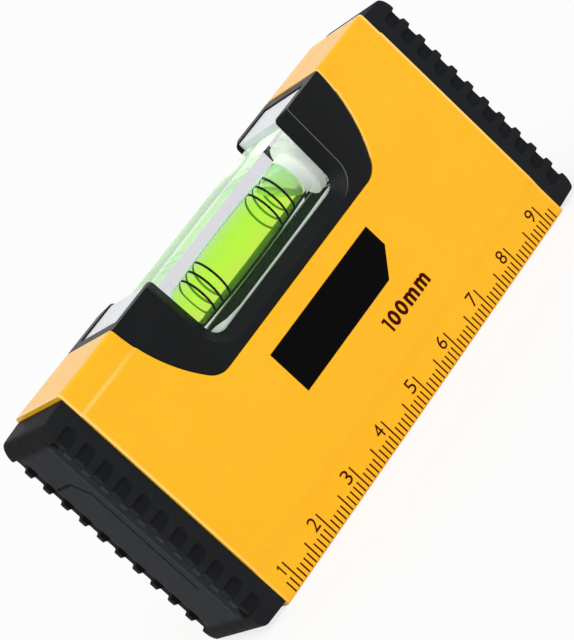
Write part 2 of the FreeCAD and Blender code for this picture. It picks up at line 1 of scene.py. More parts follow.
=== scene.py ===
"""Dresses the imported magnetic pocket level: finer shapes, finishes, printing, light and camera.

Lengths are millimetres here and become metres when a mesh is made. X runs along the level, -Y is
the face with the ruler, and Z is up from the magnetic base.
"""

import logging
import math
from collections.abc import Sequence
from dataclasses import dataclass, replace
from enum import Enum, IntEnum

import bmesh
import bpy
import numpy as np
from mathutils import Matrix, Vector


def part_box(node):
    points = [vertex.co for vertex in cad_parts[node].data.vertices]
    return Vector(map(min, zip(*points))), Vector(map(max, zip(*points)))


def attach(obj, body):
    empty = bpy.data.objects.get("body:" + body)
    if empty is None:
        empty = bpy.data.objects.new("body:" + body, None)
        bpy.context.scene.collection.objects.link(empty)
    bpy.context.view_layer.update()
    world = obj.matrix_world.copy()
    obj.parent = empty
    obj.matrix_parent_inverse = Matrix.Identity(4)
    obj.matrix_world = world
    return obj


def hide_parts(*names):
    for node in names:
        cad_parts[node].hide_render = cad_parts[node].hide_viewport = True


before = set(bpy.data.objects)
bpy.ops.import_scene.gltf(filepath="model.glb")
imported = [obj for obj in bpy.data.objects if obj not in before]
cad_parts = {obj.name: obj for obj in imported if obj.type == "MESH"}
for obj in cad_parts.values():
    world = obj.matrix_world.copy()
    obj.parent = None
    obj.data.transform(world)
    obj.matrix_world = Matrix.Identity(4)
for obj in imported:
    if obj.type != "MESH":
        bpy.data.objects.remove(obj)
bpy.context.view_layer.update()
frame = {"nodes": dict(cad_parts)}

LOG = logging.getLogger("pocket_level")
MM = 0.001
MERGE_M = 1e-6
SMOOTH_BELOW = 35.0
NEAR = 0.01
ARM_POINTS, FOOT_POINTS, FLOOR_POINTS, TURN_POINTS = 36, 12, 24, 9
WHITE = "FFFFFF"
Array = np.ndarray
Pair = tuple[float, float]
Triple = tuple[float, float, float]


class Side(Enum):
    """Which end of the level, or which face of it, a piece belongs to."""

    LEFT = "left"
    RIGHT = "right"
    FRONT = "front"
    REAR = "rear"

    @property
    def turn(self) -> float:
        """How many degrees the right or front piece turns about Z to become this side's."""
        return 180.0 if self in (Side.LEFT, Side.REAR) else 0.0


class Body(Enum):
    """The rigid bodies of the level."""

    LEVEL = "level"
    BUBBLE = "bubble"


def points_of(*coordinates: Array | Sequence[float] | float) -> Array:
    """Points from their coordinates, each one a row of numbers or one number for all the points."""
    return np.stack(np.broadcast_arrays(*coordinates), -1)


def arc(centre: Pair, radius: float, angles: Array) -> Array:
    """Points on a circle: the one at the angle a is (c + r cos a, d + r sin a)."""
    return points_of(centre[0] + radius * np.cos(angles), centre[1] + radius * np.sin(angles))


def whole_turn(count: int) -> Array:
    """Even angles round a circle, the first of them 0."""
    return np.linspace(0.0, 2.0 * math.pi, count, endpoint=False)


def quarter_turn(count: int) -> Array:
    """Even angles from 0 to a right angle."""
    return np.linspace(0.0, math.pi / 2, count)


def smoothstep(low: float, high: float, values: Array) -> Array:
    """The cubic ramp 3t^2 - 2t^3, where t runs from 0 at low to 1 at high and is held outside."""
    t = np.clip((values - low) / (high - low), 0.0, 1.0)
    return t * t * (3.0 - 2.0 * t)


def plateau(rise: Pair, fall: Pair, values: Array) -> Array:
    """A cubic ramp up over one range and a cubic ramp down over another."""
    return smoothstep(*rise, values) * (1.0 - smoothstep(*fall, values))


def about(place: float, reach: float) -> Pair:
    """The range that reaches as far below a place as above it."""
    return place - reach, place + reach


def spaced(values: Array, digits: int, least: float) -> Array:
    """The values rounded and in order, less those that lie within the least of the one before."""
    found = np.unique(np.round(values, digits))
    return found[np.concatenate([[True], np.diff(found) > least])]


def grid_faces(rows: int, columns: int, wrap_rows: bool = False,
               wrap_columns: bool = False) -> list[list[int]]:
    """The quads of a grid of points that are numbered row by row.

    Args:
        rows: how many rows of points.
        columns: how many points in a row.
        wrap_rows: whether the last row joins the first.
        wrap_columns: whether a row's last point joins its first.

    Returns:
        Four point numbers for each quad.
    """
    row = np.arange(rows if wrap_rows else rows - 1)
    column = np.arange(columns if wrap_columns else columns - 1)
    i, j = np.meshgrid(row * columns, column, indexing="ij")
    i_next = (i + columns) % (rows * columns)
    j_next = (j + 1) % columns
    return points_of(i + j, i_next + j, i_next + j_next, i + j_next).reshape(-1, 4).tolist()


@dataclass
class Patch:
    """A stretch of surface: points, faces, each face's finish and a value on each point."""

    points: Array
    faces: list[list[int]]
    finish: Array | int = 0
    relief: Array | float = 0.0

    def turned(self, degrees: float) -> "Patch":
        """The same patch turned about Z, for a piece that is used again on the other side.

        Args:
            degrees: how far it is turned.

        Returns:
            A new patch.
        """
        cos, sin = math.cos(math.radians(degrees)), math.sin(math.radians(degrees))
        turn = np.array([[cos, sin, 0], [-sin, cos, 0], [0, 0, 1]])
        return replace(self, points=self.points @ turn)


def grid_patch(points: Array, wrap_rows: bool = False, wrap_columns: bool = False) -> Patch:
    """A patch from rows and columns of points, the last of which may join the first."""
    return Patch(points.reshape(-1, 3), grid_faces(*points.shape[:2], wrap_rows, wrap_columns))


def band_patch(sections: Sequence[Array]) -> Patch:
    """A closed solid carried along a path: each section is one edge of it, from start to end.

    Args:
        sections: polylines with equally many points, in order round the solid's cross-section.

    Returns:
        The side surfaces, closed by one flat face at each end of the path.
    """
    patch = grid_patch(np.stack(sections), wrap_rows=True)
    columns = len(sections[0])
    starts = list(range(0, len(patch.points), columns))
    patch.faces += [starts[::-1], [start + columns - 1 for start in starts]]
    return patch


def loft_patch(loops: Sequence[Array], finishes: Sequence[int] | None = None) -> Patch:
    """A closed solid through loops of points, each end of it drawn together in one point.

    Args:
        loops: closed loops with equally many points.
        finishes: the finish of the band after each loop, or none for the first one throughout.

    Returns:
        The solid's surface, with a fan at each end.
    """
    points = np.stack(loops)
    rows, columns = points.shape[:2]
    patch = grid_patch(points, wrap_columns=True)
    poles = [points[0].mean(axis=0), points[-1].mean(axis=0)]
    patch.points = np.concatenate([patch.points, poles])
    ring = np.arange(columns)
    after = (ring + 1) % columns
    first, base = rows * columns, (rows - 1) * columns
    patch.faces += points_of(first, ring, after).tolist()
    patch.faces += points_of(first + 1, base + after, base + ring).tolist()
    if finishes is not None:
        patch.finish = np.repeat([*finishes[:rows - 1], finishes[0], finishes[rows - 2]], columns)
    return patch


def turned_loops(profile: Array, axis_height: float, angles: Array) -> list[Array]:
    """Circles about an axis along X: a point at the angle a is (x, r cos a, h + r sin a)."""
    return [points_of(x, r * np.cos(angles), axis_height + r * np.sin(angles)) for x, r in profile]


def linked(name: str, data: bpy.types.ID) -> bpy.types.Object:
    """A new object of the data, linked to the scene.

    Args:
        name: the object's name.
        data: its mesh, curve, lamp or camera.

    Returns:
        The object.
    """
    made = bpy.data.objects.new(name, data)
    bpy.context.scene.collection.objects.link(made)
    return made


def new_mesh(name: str, points: Array, faces: list[list[int]]) -> bpy.types.Mesh:
    """A mesh in metres from points in millimetres and the point numbers of each face.

    Args:
        name: the mesh's name.
        points: rows of x, y, z.
        faces: the point numbers of its faces.

    Returns:
        The mesh.
    """
    mesh = bpy.data.meshes.new(name)
    mesh.from_pydata((points * MM).tolist(), [], faces)
    return mesh


def mend(mesh: bpy.types.Mesh) -> None:
    """Merge a mesh's seams and point its faces outwards.

    Args:
        mesh: the mesh, which is changed.
    """
    work = bmesh.new()
    work.from_mesh(mesh)
    bmesh.ops.remove_doubles(work, verts=work.verts, dist=MERGE_M)
    bmesh.ops.dissolve_degenerate(work, edges=work.edges, dist=MERGE_M)
    bmesh.ops.recalc_face_normals(work, faces=work.faces)
    work.to_mesh(mesh)
    work.free()


def evaluated_mesh(holder: bpy.types.Object) -> bpy.types.Mesh:
    """A new mesh of an object as its live modifiers leave it."""
    graph = bpy.context.evaluated_depsgraph_get()
    return bpy.data.meshes.new_from_object(holder.evaluated_get(graph), depsgraph=graph)


@dataclass
class Piece:
    """A mesh object of the level and what the frame has to know about it."""

    name: str
    slot: str
    node: str | None = None
    body: Body = Body.LEVEL
    bevel: float = 0.0
    bevel_angle: float = 40.0
    smooth_angle: float = SMOOTH_BELOW

    def build(self, patches: Sequence[Patch], *materials: bpy.types.Material) -> bpy.types.Object:
        """Make the object from its patches.

        Args:
            patches: the surfaces, in millimetres.
            *materials: the finishes that the patches number.

        Returns:
            The finished object, riding on its body.
        """
        starts = np.cumsum([0] + [len(patch.points) for patch in patches]).tolist()
        faces = [[number + start for number in face]
                 for patch, start in zip(patches, starts) for face in patch.faces]
        finishes = [np.broadcast_to(patch.finish, len(patch.faces)) for patch in patches]
        relief = [np.broadcast_to(patch.relief, len(patch.points)) for patch in patches]
        points = np.concatenate([patch.points for patch in patches])
        mesh = new_mesh(self.name, points, faces)
        mesh.polygons.foreach_set("material_index", np.concatenate(finishes).astype(np.int32))
        # Each point's relief value mixes in a paler colour: painted light and shade on the caps, a
        # painted highlight on the surrounds' crease, a thin coat and painted highlights on the
        # body.
        attribute = mesh.attributes.new("relief", "FLOAT", "POINT")
        attribute.data.foreach_set("value", np.concatenate(relief).astype(np.float32))
        mend(mesh)
        mesh.polygons.foreach_set("use_smooth", np.ones(len(mesh.polygons), dtype=bool))
        mesh.set_sharp_from_angle(angle=math.radians(self.smooth_angle))
        mesh.update()
        for material in materials:
            mesh.materials.append(material)
        piece = linked(self.name, mesh)
        if self.bevel:
            bevel = piece.modifiers.new("edges", "BEVEL")
            bevel.width = self.bevel * MM
            bevel.segments = 3
            bevel.limit_method = "ANGLE"
            bevel.angle_limit = math.radians(self.bevel_angle)
            bevel.harden_normals = False
        self.place(piece)
        return piece

    def place(self, piece: bpy.types.Object) -> None:
        """Attach the object to its body and hide the solid that it stands for.

        Args:
            piece: the finished object.
        """
        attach(piece, self.body.value)
        if self.node is not None:
            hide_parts(self.node)
        LOG.info("%s: %d faces on %s", self.name, len(piece.data.polygons), self.body.value)


def linear(hex_colour: str) -> tuple[float, float, float, float]:
    """Turn an sRGB hex colour to the linear one that shaders take."""
    values = [int(hex_colour[place:place + 2], 16) / 255 for place in (0, 2, 4)]
    return (*[v / 12.92 if v <= 0.04045 else ((v + 0.055) / 1.055) ** 2.4 for v in values], 1.0)


class Graph:
    """A shader's nodes: one call that adds a node, and the patterns that the finishes share.

    A mottle is a cloud of blotches, given by the size of one in millimetres and, where they
    aren't the usual ones, the number of its finer layers and how strong these are. In every finish
    the cloud is the mottle of its colour, and the gloss that of its roughness.
    """

    def __init__(self, owner: bpy.types.Material | bpy.types.World) -> None:
        """Start the owner's nodes afresh.

        Args:
            owner: the material or the world.
        """
        owner.use_nodes = True
        self.owner = owner
        self.tree = owner.node_tree
        self.tree.nodes.clear()

    @classmethod
    def of_material(cls, name: str) -> "Graph":
        """Start a new material."""
        return cls(bpy.data.materials.new(name))

    def add(self, kind: str, inputs: dict[str | int, object] | None = None,
            **settings: object) -> bpy.types.Node:
        """Add a node.

        Args:
            kind: the node's type name, less the words that all of them start with.
            inputs: each input's constant, or the node or socket that feeds it.
            **settings: the node's own properties.

        Returns:
            The node.
        """
        node = self.tree.nodes.new("ShaderNode" + kind)
        for name, setting in settings.items():
            setattr(node, name, setting)
        for name, value in (inputs or {}).items():
            feed = value.outputs[0] if isinstance(value, bpy.types.Node) else value
            if isinstance(feed, bpy.types.NodeSocket):
                self.tree.links.new(feed, node.inputs[name])
            else:
                node.inputs[name].default_value = feed
        return node

    def mottle(self, size_mm: float, layers: float = 2.0, strong: float = 0.5) -> bpy.types.Node:
        """Blotches of a real size on the object's own coordinates, about 0.5 on average."""
        return self.add("TexNoise", {"Vector": self.add("TexCoord").outputs["Object"],
                                     "Scale": 1.0 / (size_mm * MM), "Detail": layers,
                                     "Roughness": strong})

    def drift(self, low: float, high: float, *mottle: float,
              ends: Pair = (0.3, 0.7)) -> bpy.types.Node:
        """A value from low to high that follows a mottle, whose ends become low and high."""
        return self.add("MapRange", {"Value": self.mottle(*mottle), "From Min": ends[0],
                                     "From Max": ends[1], "To Min": low, "To Max": high})

    def two_tone(self, colour: str, other: str, *mottle: float,
                 ends: Pair = (0.3, 0.7)) -> bpy.types.NodeSocket:
        """A colour that drifts between two sRGB hex ones, as a mottle does between its ends."""
        return self.add("Mix", {"Factor": self.drift(0.0, 1.0, *mottle, ends=ends),
                                "A": linear(colour), "B": linear(other)},
                        data_type="RGBA").outputs["Result"]

    def grain(self, depth_mm: float, *mottle: float,
              over: bpy.types.Node | None = None) -> bpy.types.Node:
        """Bumps so many millimetres deep that follow a mottle, over any coarser ones given."""
        coarser = {} if over is None else {"Normal": over}
        return self.add("Bump", {"Height": self.mottle(*mottle), "Strength": 1.0,
                                 "Distance": depth_mm * MM} | coarser)

    def finish(self, surface: bpy.types.Node,
               volume: bpy.types.Node | None = None) -> bpy.types.Material:
        """Send the shaders to the output and return the material.

        Args:
            surface: the surface's shader.
            volume: what fills the inside, if anything does.

        Returns:
            The material.
        """
        inside = {} if volume is None else {"Volume": volume}
        self.add("OutputMaterial", {"Surface": surface} | inside)
        return self.owner


@dataclass(frozen=True)
class PowderCoat:
    """Yellow powder coat, sprayed and baked on aluminium: a glossy skin with a faint orange peel.

    At the cut ends the coat draws thin over the metal and looks paler, with a painted highlight
    there too; the pale colour also paints highlights on a saddle edge and along the top ramp.
    """

    colour: str = "FBB80A"
    pale: str = "FCBC10"
    # The thin coat's pale colour, which also paints the highlights.
    thin: str = "FFDC84"
    roughness: Pair = (0.24, 0.30)
    cloud: Pair = (11.0, 3.0)
    gloss: Triple = (3.0, 4.0, 0.6)
    peel_mm: float = 0.9
    peel_depth_mm: float = 0.0008
    grit_mm: float = 0.16
    grit_depth_mm: float = 0.0002
    ior: float = 1.5
    specular: float = 0.28

    def material(self) -> bpy.types.Material:
        """Peel bumps and a slight drift of colour, as a sprayed coat has."""
        graph = Graph.of_material("yellow_powder_coat_on_aluminium")
        # Each point's value mixes in the pale colour: a thin coat with painted highlights.
        thin_coat_and_highlight = graph.add("Attribute", attribute_name="relief").outputs["Fac"]
        colour = graph.add("Mix", {"Factor": thin_coat_and_highlight, "B": linear(self.thin),
                                   "A": graph.two_tone(self.colour, self.pale, *self.cloud)},
                           data_type="RGBA")
        peel = graph.grain(self.peel_depth_mm, self.peel_mm)
        return graph.finish(graph.add("BsdfPrincipled", {
            "Base Color": colour.outputs["Result"],
            "Roughness": graph.drift(*self.roughness, *self.gloss),
            "Normal": graph.grain(self.grit_depth_mm, self.grit_mm, over=peel),
            "IOR": self.ior, "Specular IOR Level": self.specular}))


@dataclass(frozen=True)
class MouldedPlastic:
    """Opaque plastic from a spark-eroded mould: matt grain, and painted light in a paler colour."""

    name: str
    colour: str
    # The paler colour, mixed in by each point's value as painted light.
    painted_light: str
    grain_mm: float = 0.28
    grain_depth_mm: float = 0.02
    roughness: Pair = (0.42, 0.6)
    specular: float = 0.3
    drift: float = 0.12
    cloud: Pair = (7.0, 4.0)
    gloss: Pair = (1.6, 3.0)
    grain_layers: Pair = (3.0, 0.6)
    ior: float = 1.5

    def material(self) -> bpy.types.Material:
        """Grain from noise; the relief value on each point gives the painted light."""
        graph = Graph.of_material(self.name)
        painted_light_share = graph.add("Attribute", attribute_name="relief").outputs["Fac"]
        cloud = graph.drift(-self.drift, self.drift, *self.cloud)
        share = graph.add("Math", {0: painted_light_share, 1: cloud}, operation="ADD", use_clamp=True)
        colour = graph.add("Mix", {"Factor": share, "A": linear(self.colour),
                                   "B": linear(self.painted_light)}, data_type="RGBA")
        return graph.finish(graph.add("BsdfPrincipled", {
            "Base Color": colour.outputs["Result"],
            "Roughness": graph.drift(*self.roughness, *self.gloss),
            "Normal": graph.grain(self.grain_depth_mm, self.grain_mm, *self.grain_layers),
            "IOR": self.ior, "Specular IOR Level": self.specular}))


@dataclass(frozen=True)
class MilkyPlastic:
    """White moulded plastic: light goes a little way in, so edges look soft.

    The glow is painted light: it stands for light that the clear block gathers and sends into a
    piece inside it.
    """

    name: str = "milky_white_polystyrene"
    colour: str = "DADDE1"
    pale: str = "E4E6E9"
    depth_mm: float = 0.8
    glow: float = 0.0
    roughness: Pair = (0.3, 0.45)
    cloud: Pair = (4.0, 3.0)
    gloss: Pair = (1.5, 3.0)
    grain: Pair = (0.4, 3.0)
    grain_depth_mm: float = 0.008
    ior: float = 1.55
    specular: float = 0.4
    scatter: float = 0.25

    def material(self) -> bpy.types.Material:
        """A faint cloud in the colour and a fine moulded grain."""
        graph = Graph.of_material(self.name)
        return graph.finish(graph.add("BsdfPrincipled", {
            "Base Color": graph.two_tone(self.colour, self.pale, *self.cloud),
            "Roughness": graph.drift(*self.roughness, *self.gloss),
            "Normal": graph.grain(self.grain_depth_mm, *self.grain), "IOR": self.ior,
            "Specular IOR Level": self.specular, "Subsurface Weight": self.scatter,
            "Subsurface Radius": (1.0, 1.0, 1.0), "Subsurface Scale": self.depth_mm * MM,
            "Emission Color": linear(self.pale), "Emission Strength": self.glow}))


@dataclass(frozen=True)
class ClearAcrylic:
    """Polished cast acrylic: clear, with a faint ripple left by the mould.

    A hazed face is scuffed, and it carries a faint painted glow that stands for light that the dye
    sends through the block. A face with less shine lets the eye look straight in, as if nothing
    bright stood before it.
    """

    name: str = "clear_acrylic"
    tint: str = "E6E4EA"
    ior: float = 1.49
    shine: float = 1.0
    haze: float = 0.0
    glow: float = 0.0
    lit: str = "C0F2B8"
    ripple: Pair = (6.0, 1.0)
    ripple_depth_mm: float = 0.02
    scuffs: Triple = (0.8, 4.0, 0.7)
    scuffed: Pair = (0.5, 0.75)
    scuff_rise: Pair = (1.3, 0.03)

    def material(self) -> bpy.types.Material:
        """Glass of acrylic's index, with a slow ripple and fine scuffs in its gloss."""
        graph = Graph.of_material(self.name)
        gain, least = self.scuff_rise
        skin = {"Normal": graph.grain(self.ripple_depth_mm, *self.ripple), "IOR": self.ior,
                "Roughness": graph.drift(self.haze, gain * self.haze + least, *self.scuffs,
                                         ends=self.scuffed)}
        # On hazed faces the glow is painted light.
        acrylic = graph.add("BsdfPrincipled", skin | {
            "Base Color": linear(self.tint), "Transmission Weight": 1.0,
            "Emission Color": linear(self.lit), "Emission Strength": self.glow})
        passing = graph.add("BsdfRefraction", skin | {"Color": linear(self.tint)})
        return graph.finish(graph.add("MixShader", {0: self.shine, 1: passing, 2: acrylic}))


@dataclass(frozen=True)
class WettedWall:
    """A wall under the liquid or glued to the stopper, whose skin isn't seen.

    What touches it bends the light.
    """

    name: str = "acrylic_wall_under_liquid"

    def material(self) -> bpy.types.Material:
        """Lets light pass straight on."""
        graph = Graph.of_material(self.name)
        return graph.finish(graph.add("BsdfTransparent", {"Color": linear(WHITE)}))


@dataclass(frozen=True)
class DyedLiquid:
    """Fluorescent yellow-green spirit: it swallows blue, glows and looks greener near its top."""

    name: str = "fluorescent_green_liquid"
    ior: float = 1.36 / 1.49
    passed: str = "F0FA0C"
    density: float = 290.0
    glow: str = "9CFF48"
    glow_strength: float = 43.0
    skin_low: str = "FFFFF2"
    skin_high: str = "EEFFF8"
    heights_mm: Pair = (35.6, 43.0)

    def material(self) -> bpy.types.Material:
        """Glass of the liquid's index against acrylic, filled with an absorbing, glowing volume."""
        graph = Graph.of_material(self.name)
        place = graph.add("SeparateXYZ", {"Vector": graph.add("TexCoord").outputs["Object"]})
        low, high = (height * MM for height in self.heights_mm)
        # Painted shading: the skin's tint shifts greener towards the top.
        share = graph.add("MapRange", {"Value": place.outputs["Z"], "From Min": low,
                                       "From Max": high})
        tone = graph.add("Mix", {"Factor": share, "A": linear(self.skin_low),
                                 "B": linear(self.skin_high)}, data_type="RGBA")
        skin = graph.add("BsdfGlass", {"Color": tone.outputs["Result"], "Roughness": 0.0,
                                       "IOR": self.ior})
        dye = graph.add("VolumeAbsorption", {"Color": linear(self.passed),
                                             "Density": self.density})
        # The glow is painted light: an emission that stands for the dye's real fluorescence.
        glow = graph.add("Emission", {"Color": linear(self.glow),
                                      "Strength": self.glow_strength})
        return graph.finish(skin, graph.add("AddShader", {0: dye, 1: glow}))


@dataclass(frozen=True)
class TrappedAir:
    """Air in the liquid: light bends away from it, so its rim is dark and its skin silvery."""

    name: str = "air_in_liquid"
    ior: float = 1.0 / 1.36
    sheen: str = "E4F2E2"
    silver: float = 0.6
    glow: float = 0.2
    roughness: float = 0.5
    shimmer: float = 0.05
    shimmer_mm: float = 2.0

    def material(self) -> bpy.types.Material:
        """Glass of air's index against the liquid, under a pale painted sheen with a faint glow."""
        graph = Graph.of_material(self.name)
        glass = graph.add("BsdfGlass", {"Color": linear(WHITE), "Roughness": 0.0,
                                        "IOR": self.ior})
        # Painted reflection: a pale sheen with a faint glow stands for the bubble's silvery skin.
        sheen = graph.add("BsdfPrincipled", {
            "Base Color": linear(self.sheen), "Roughness": self.roughness,
            "Specular IOR Level": 0.0, "Emission Color": linear(self.sheen),
            "Emission Strength": self.glow})
        share = graph.drift(*about(self.silver, self.shimmer), self.shimmer_mm)
        return graph.finish(graph.add("MixShader", {0: share, 1: glass, 2: sheen}))


@dataclass(frozen=True)
class Ink:
    """Pad-printed ink: a thin matt film, a little uneven where it took to the coat."""

    name: str
    colour: str
    thin: str
    roughness: float = 0.45
    specular: float = 0.12
    grain_depth_mm: float = 0.004
    grain_mm: float = 0.25
    cloud: Triple = (0.5, 4.0, 0.6)
    covered: Pair = (0.4, 0.8)

    def material(self) -> bpy.types.Material:
        """The ink's cover drifts, and its surface is faintly rough."""
        graph = Graph.of_material(self.name)
        return graph.finish(graph.add("BsdfPrincipled", {
            "Base Color": graph.two_tone(self.colour, self.thin, *self.cloud, ends=self.covered),
            "Normal": graph.grain(self.grain_depth_mm, self.grain_mm),
            "Roughness": self.roughness, "Specular IOR Level": self.specular}))


@dataclass(frozen=True)
class NickelPlate:
    """Bright nickel on a sintered magnet: a metal with a soft, pitted gloss."""

    colour: str = "C9C6BE"
    dull: str = "A9A69F"
    roughness: Pair = (0.18, 0.36)
    gloss: Pair = (1.4, 4.0)
    pits: Triple = (0.5, 4.0, 0.65)
    pit_depth_mm: float = 0.01

    def material(self) -> bpy.types.Material:
        """Pits from noise over a metal."""
        graph = Graph.of_material("nickel_plated_magnet")
        return graph.finish(graph.add("BsdfPrincipled", {
            "Base Color": graph.two_tone(self.colour, self.dull, *self.pits),
            "Roughness": graph.drift(*self.roughness, *self.gloss),
            "Normal": graph.grain(self.pit_depth_mm, *self.pits), "Metallic": 1.0}))


class Finishes:
    """Every finish of the level, made once."""

    def __init__(self) -> None:
        """Make the materials."""
        self.coat = PowderCoat().material()
        # The cap's paler grey paints light and shade on its faces.
        self.cap = MouldedPlastic("black_abs_end_cap", "0A0B0B", "3A3D42",
                                  roughness=(0.56, 0.64), specular=0.05, drift=0.02).material()
        # The surround's paler grey paints the highlight along its crease.
        self.surround = MouldedPlastic("black_abs_surround", "0D0F11", "6E7072", 0.22, 0.012,
                                       (0.4, 0.48), 0.13, 0.006).material()
        # The holder gets no painted light: its solid has no relief value, so only the cloud moves
        # its grey.
        self.holder = MouldedPlastic("grey_abs_magnet_holder", "6D7074", "7C7F83").material()
        self.carrier = MilkyPlastic().material()
        # The stopper's glow is painted light.
        self.stopper = MilkyPlastic("milky_polypropylene_stopper", "E6EAE0", "EAF2E6", 0.5,
                                    0.45).material()
        # Painted highlight: the sawn edge's pale colour and glow make a bright line along the
        # block's lower front edge.
        self.sawn = MilkyPlastic("sawn_edge_painted_highlight", "CCDEC8", "E2EEDE", 0.3, 0.16).material()
        self.acrylic = ClearAcrylic().material()
        # The hazed top's glow is painted light.
        self.hazed = ClearAcrylic("hazed_acrylic_top", haze=0.25, glow=0.36).material()
        # The fillet's pale green colour is painted light from the dye.
        self.fillet = Ink("adhesive_fillet_lit_by_the_dye", "BCDCAC", "C8E8B8", 0.6, 0.0,
                          0.0).material()
        self.window = ClearAcrylic("clear_acrylic_window", shine=0.35).material()
        self.wetted = WettedWall().material()
        self.seat = Ink("dark_seat_adhesive", "1C2E24", "243A2E", 0.6, 0.0, 0.0).material()
        self.liquid = DyedLiquid().material()
        self.air = TrappedAir().material()
        self.ring = Ink("black_ring_ink", "060A06", "0D0F0C", 0.5, 0.0).material()
        self.ruler = Ink("dark_ruler_ink", "3E0602", "4C0E05", 0.5, 0.03).material()
        self.label = Ink("black_label_ink", "060505", "0A0808", 0.45, 0.03).material()
        self.nickel = NickelPlate().material()


@dataclass(frozen=True)
class Saddle:
    """The cut-out in the body's top: an arc on each side, a rounded foot and a flat floor."""

    radius: float = 30.1
    centre: float = 49.5
    floor: float = 30.4
    corner: float = 4.4
    least_corner: float = 0.4

    def foot(self, inset: float) -> tuple[float, float, float, float]:
        """Where the right foot is drawn from.

        Its centre is r - c from the arc's centre and c above the floor, where r is the arc's
        radius and c the corner's, both made smaller by the inset.

        Args:
            inset: how far the path lies inside the cut-out.

        Returns:
            The foot centre's x and z, the corner radius and the arc radius.
        """
        radius = self.radius - inset
        corner = max(self.corner - inset, self.least_corner)
        height = self.floor + inset + corner
        side = math.sqrt((radius - corner) ** 2 - (self.centre - height) ** 2)
        return side, height, corner, radius

    def half_width(self, height: Array) -> Array:
        """Half the cut-out's width at each height, from the floor up.

        Args:
            height: the heights.

        Returns:
            The half widths.
        """
        foot_x, foot_z, corner, radius = self.foot(0.0)
        touch = self.centre + (foot_z - self.centre) * radius / (radius - corner)
        side = np.sqrt(np.clip(radius ** 2 - (self.centre - height) ** 2, 0.0, None))
        bend = foot_x + np.sqrt(np.clip(corner ** 2 - (foot_z - height) ** 2, 0.0, None))
        return np.where(height < touch, bend, side)

    def path(self, inset: float, top: float) -> Array:
        """The cut-out's edge from the left arm's top round to the right arm's.

        Args:
            inset: how far the path lies inside the cut-out.
            top: the height of both ends.

        Returns:
            Rows of x and z.
        """
        foot_x, foot_z, corner, radius = self.foot(inset)
        low = math.atan2(foot_z - self.centre, foot_x)
        arm = np.linspace(math.asin((top - self.centre) / radius), low, ARM_POINTS)
        return mirrored(arc((0.0, self.centre), radius, arm), (foot_x, foot_z), corner, low)


@dataclass(frozen=True)
class Opening:
    """A window or nest in a surround or carrier: straight sides that lean and a rounded foot."""

    top_half: float
    floor_half: float
    top: float
    floor: float
    corner: float

    def path(self, offset: float, top: float, round_top: float = 0.0) -> Array:
        """The opening's edge, moved outwards, from the left side's top round to the right's.

        A side is x = a + s z; moved out by o it is x = a + o sqrt(1 + s^2) + s z. The foot is an
        arc that touches it and the floor.

        Args:
            offset: how far outside the opening the path lies.
            top: the height of both ends.
            round_top: the radius with which a side turns outwards at its top.

        Returns:
            Rows of x and z.
        """
        slope = (self.top_half - self.floor_half) / (self.top - self.floor)
        stretch = math.hypot(1.0, slope)
        base = self.floor_half - slope * self.floor + offset * stretch
        corner = self.corner + offset
        foot_z = self.floor - offset + corner
        foot_x = base + slope * foot_z - corner * stretch
        low = -math.atan(slope)
        turn = np.linspace(math.pi / 2, 0.0, TURN_POINTS)
        straight = np.linspace(top - round_top, foot_z + corner * math.sin(low),
                               ARM_POINTS - TURN_POINTS + 1)[1:]
        side = np.concatenate([top - round_top * (1 - np.sin(turn)), straight])
        spread = np.concatenate([round_top * (1 - np.cos(turn)), np.zeros(len(straight))])
        return mirrored(points_of(base + slope * side + spread, side), (foot_x, foot_z), corner,
                        low)


def mirrored(side: Array, foot: Pair, corner: float, low: float) -> Array:
    """A whole path from its right side: an arc leads on to the floor, and the left is its image.

    Args:
        side: rows of x and z, from the top down.
        foot: the x and z of the arc's centre.
        corner: the arc's radius.
        low: the angle at which the side meets the arc.

    Returns:
        Rows of x and z.
    """
    bend = np.linspace(low, -math.pi / 2, FOOT_POINTS)[1:]
    floor = np.linspace(foot[0], 0.0, FLOOR_POINTS)[1:]
    right = np.concatenate([side, arc(foot, corner, bend), points_of(floor, foot[1] - corner)])
    left = right * np.array([-1.0, 1.0])
    return np.concatenate([left[:-1], right[::-1]])


def at_depth(path: Array, depth: float) -> Array:
    """Put a path of x and z at a y."""
    return points_of(path[:, 0], depth, path[:, 1])


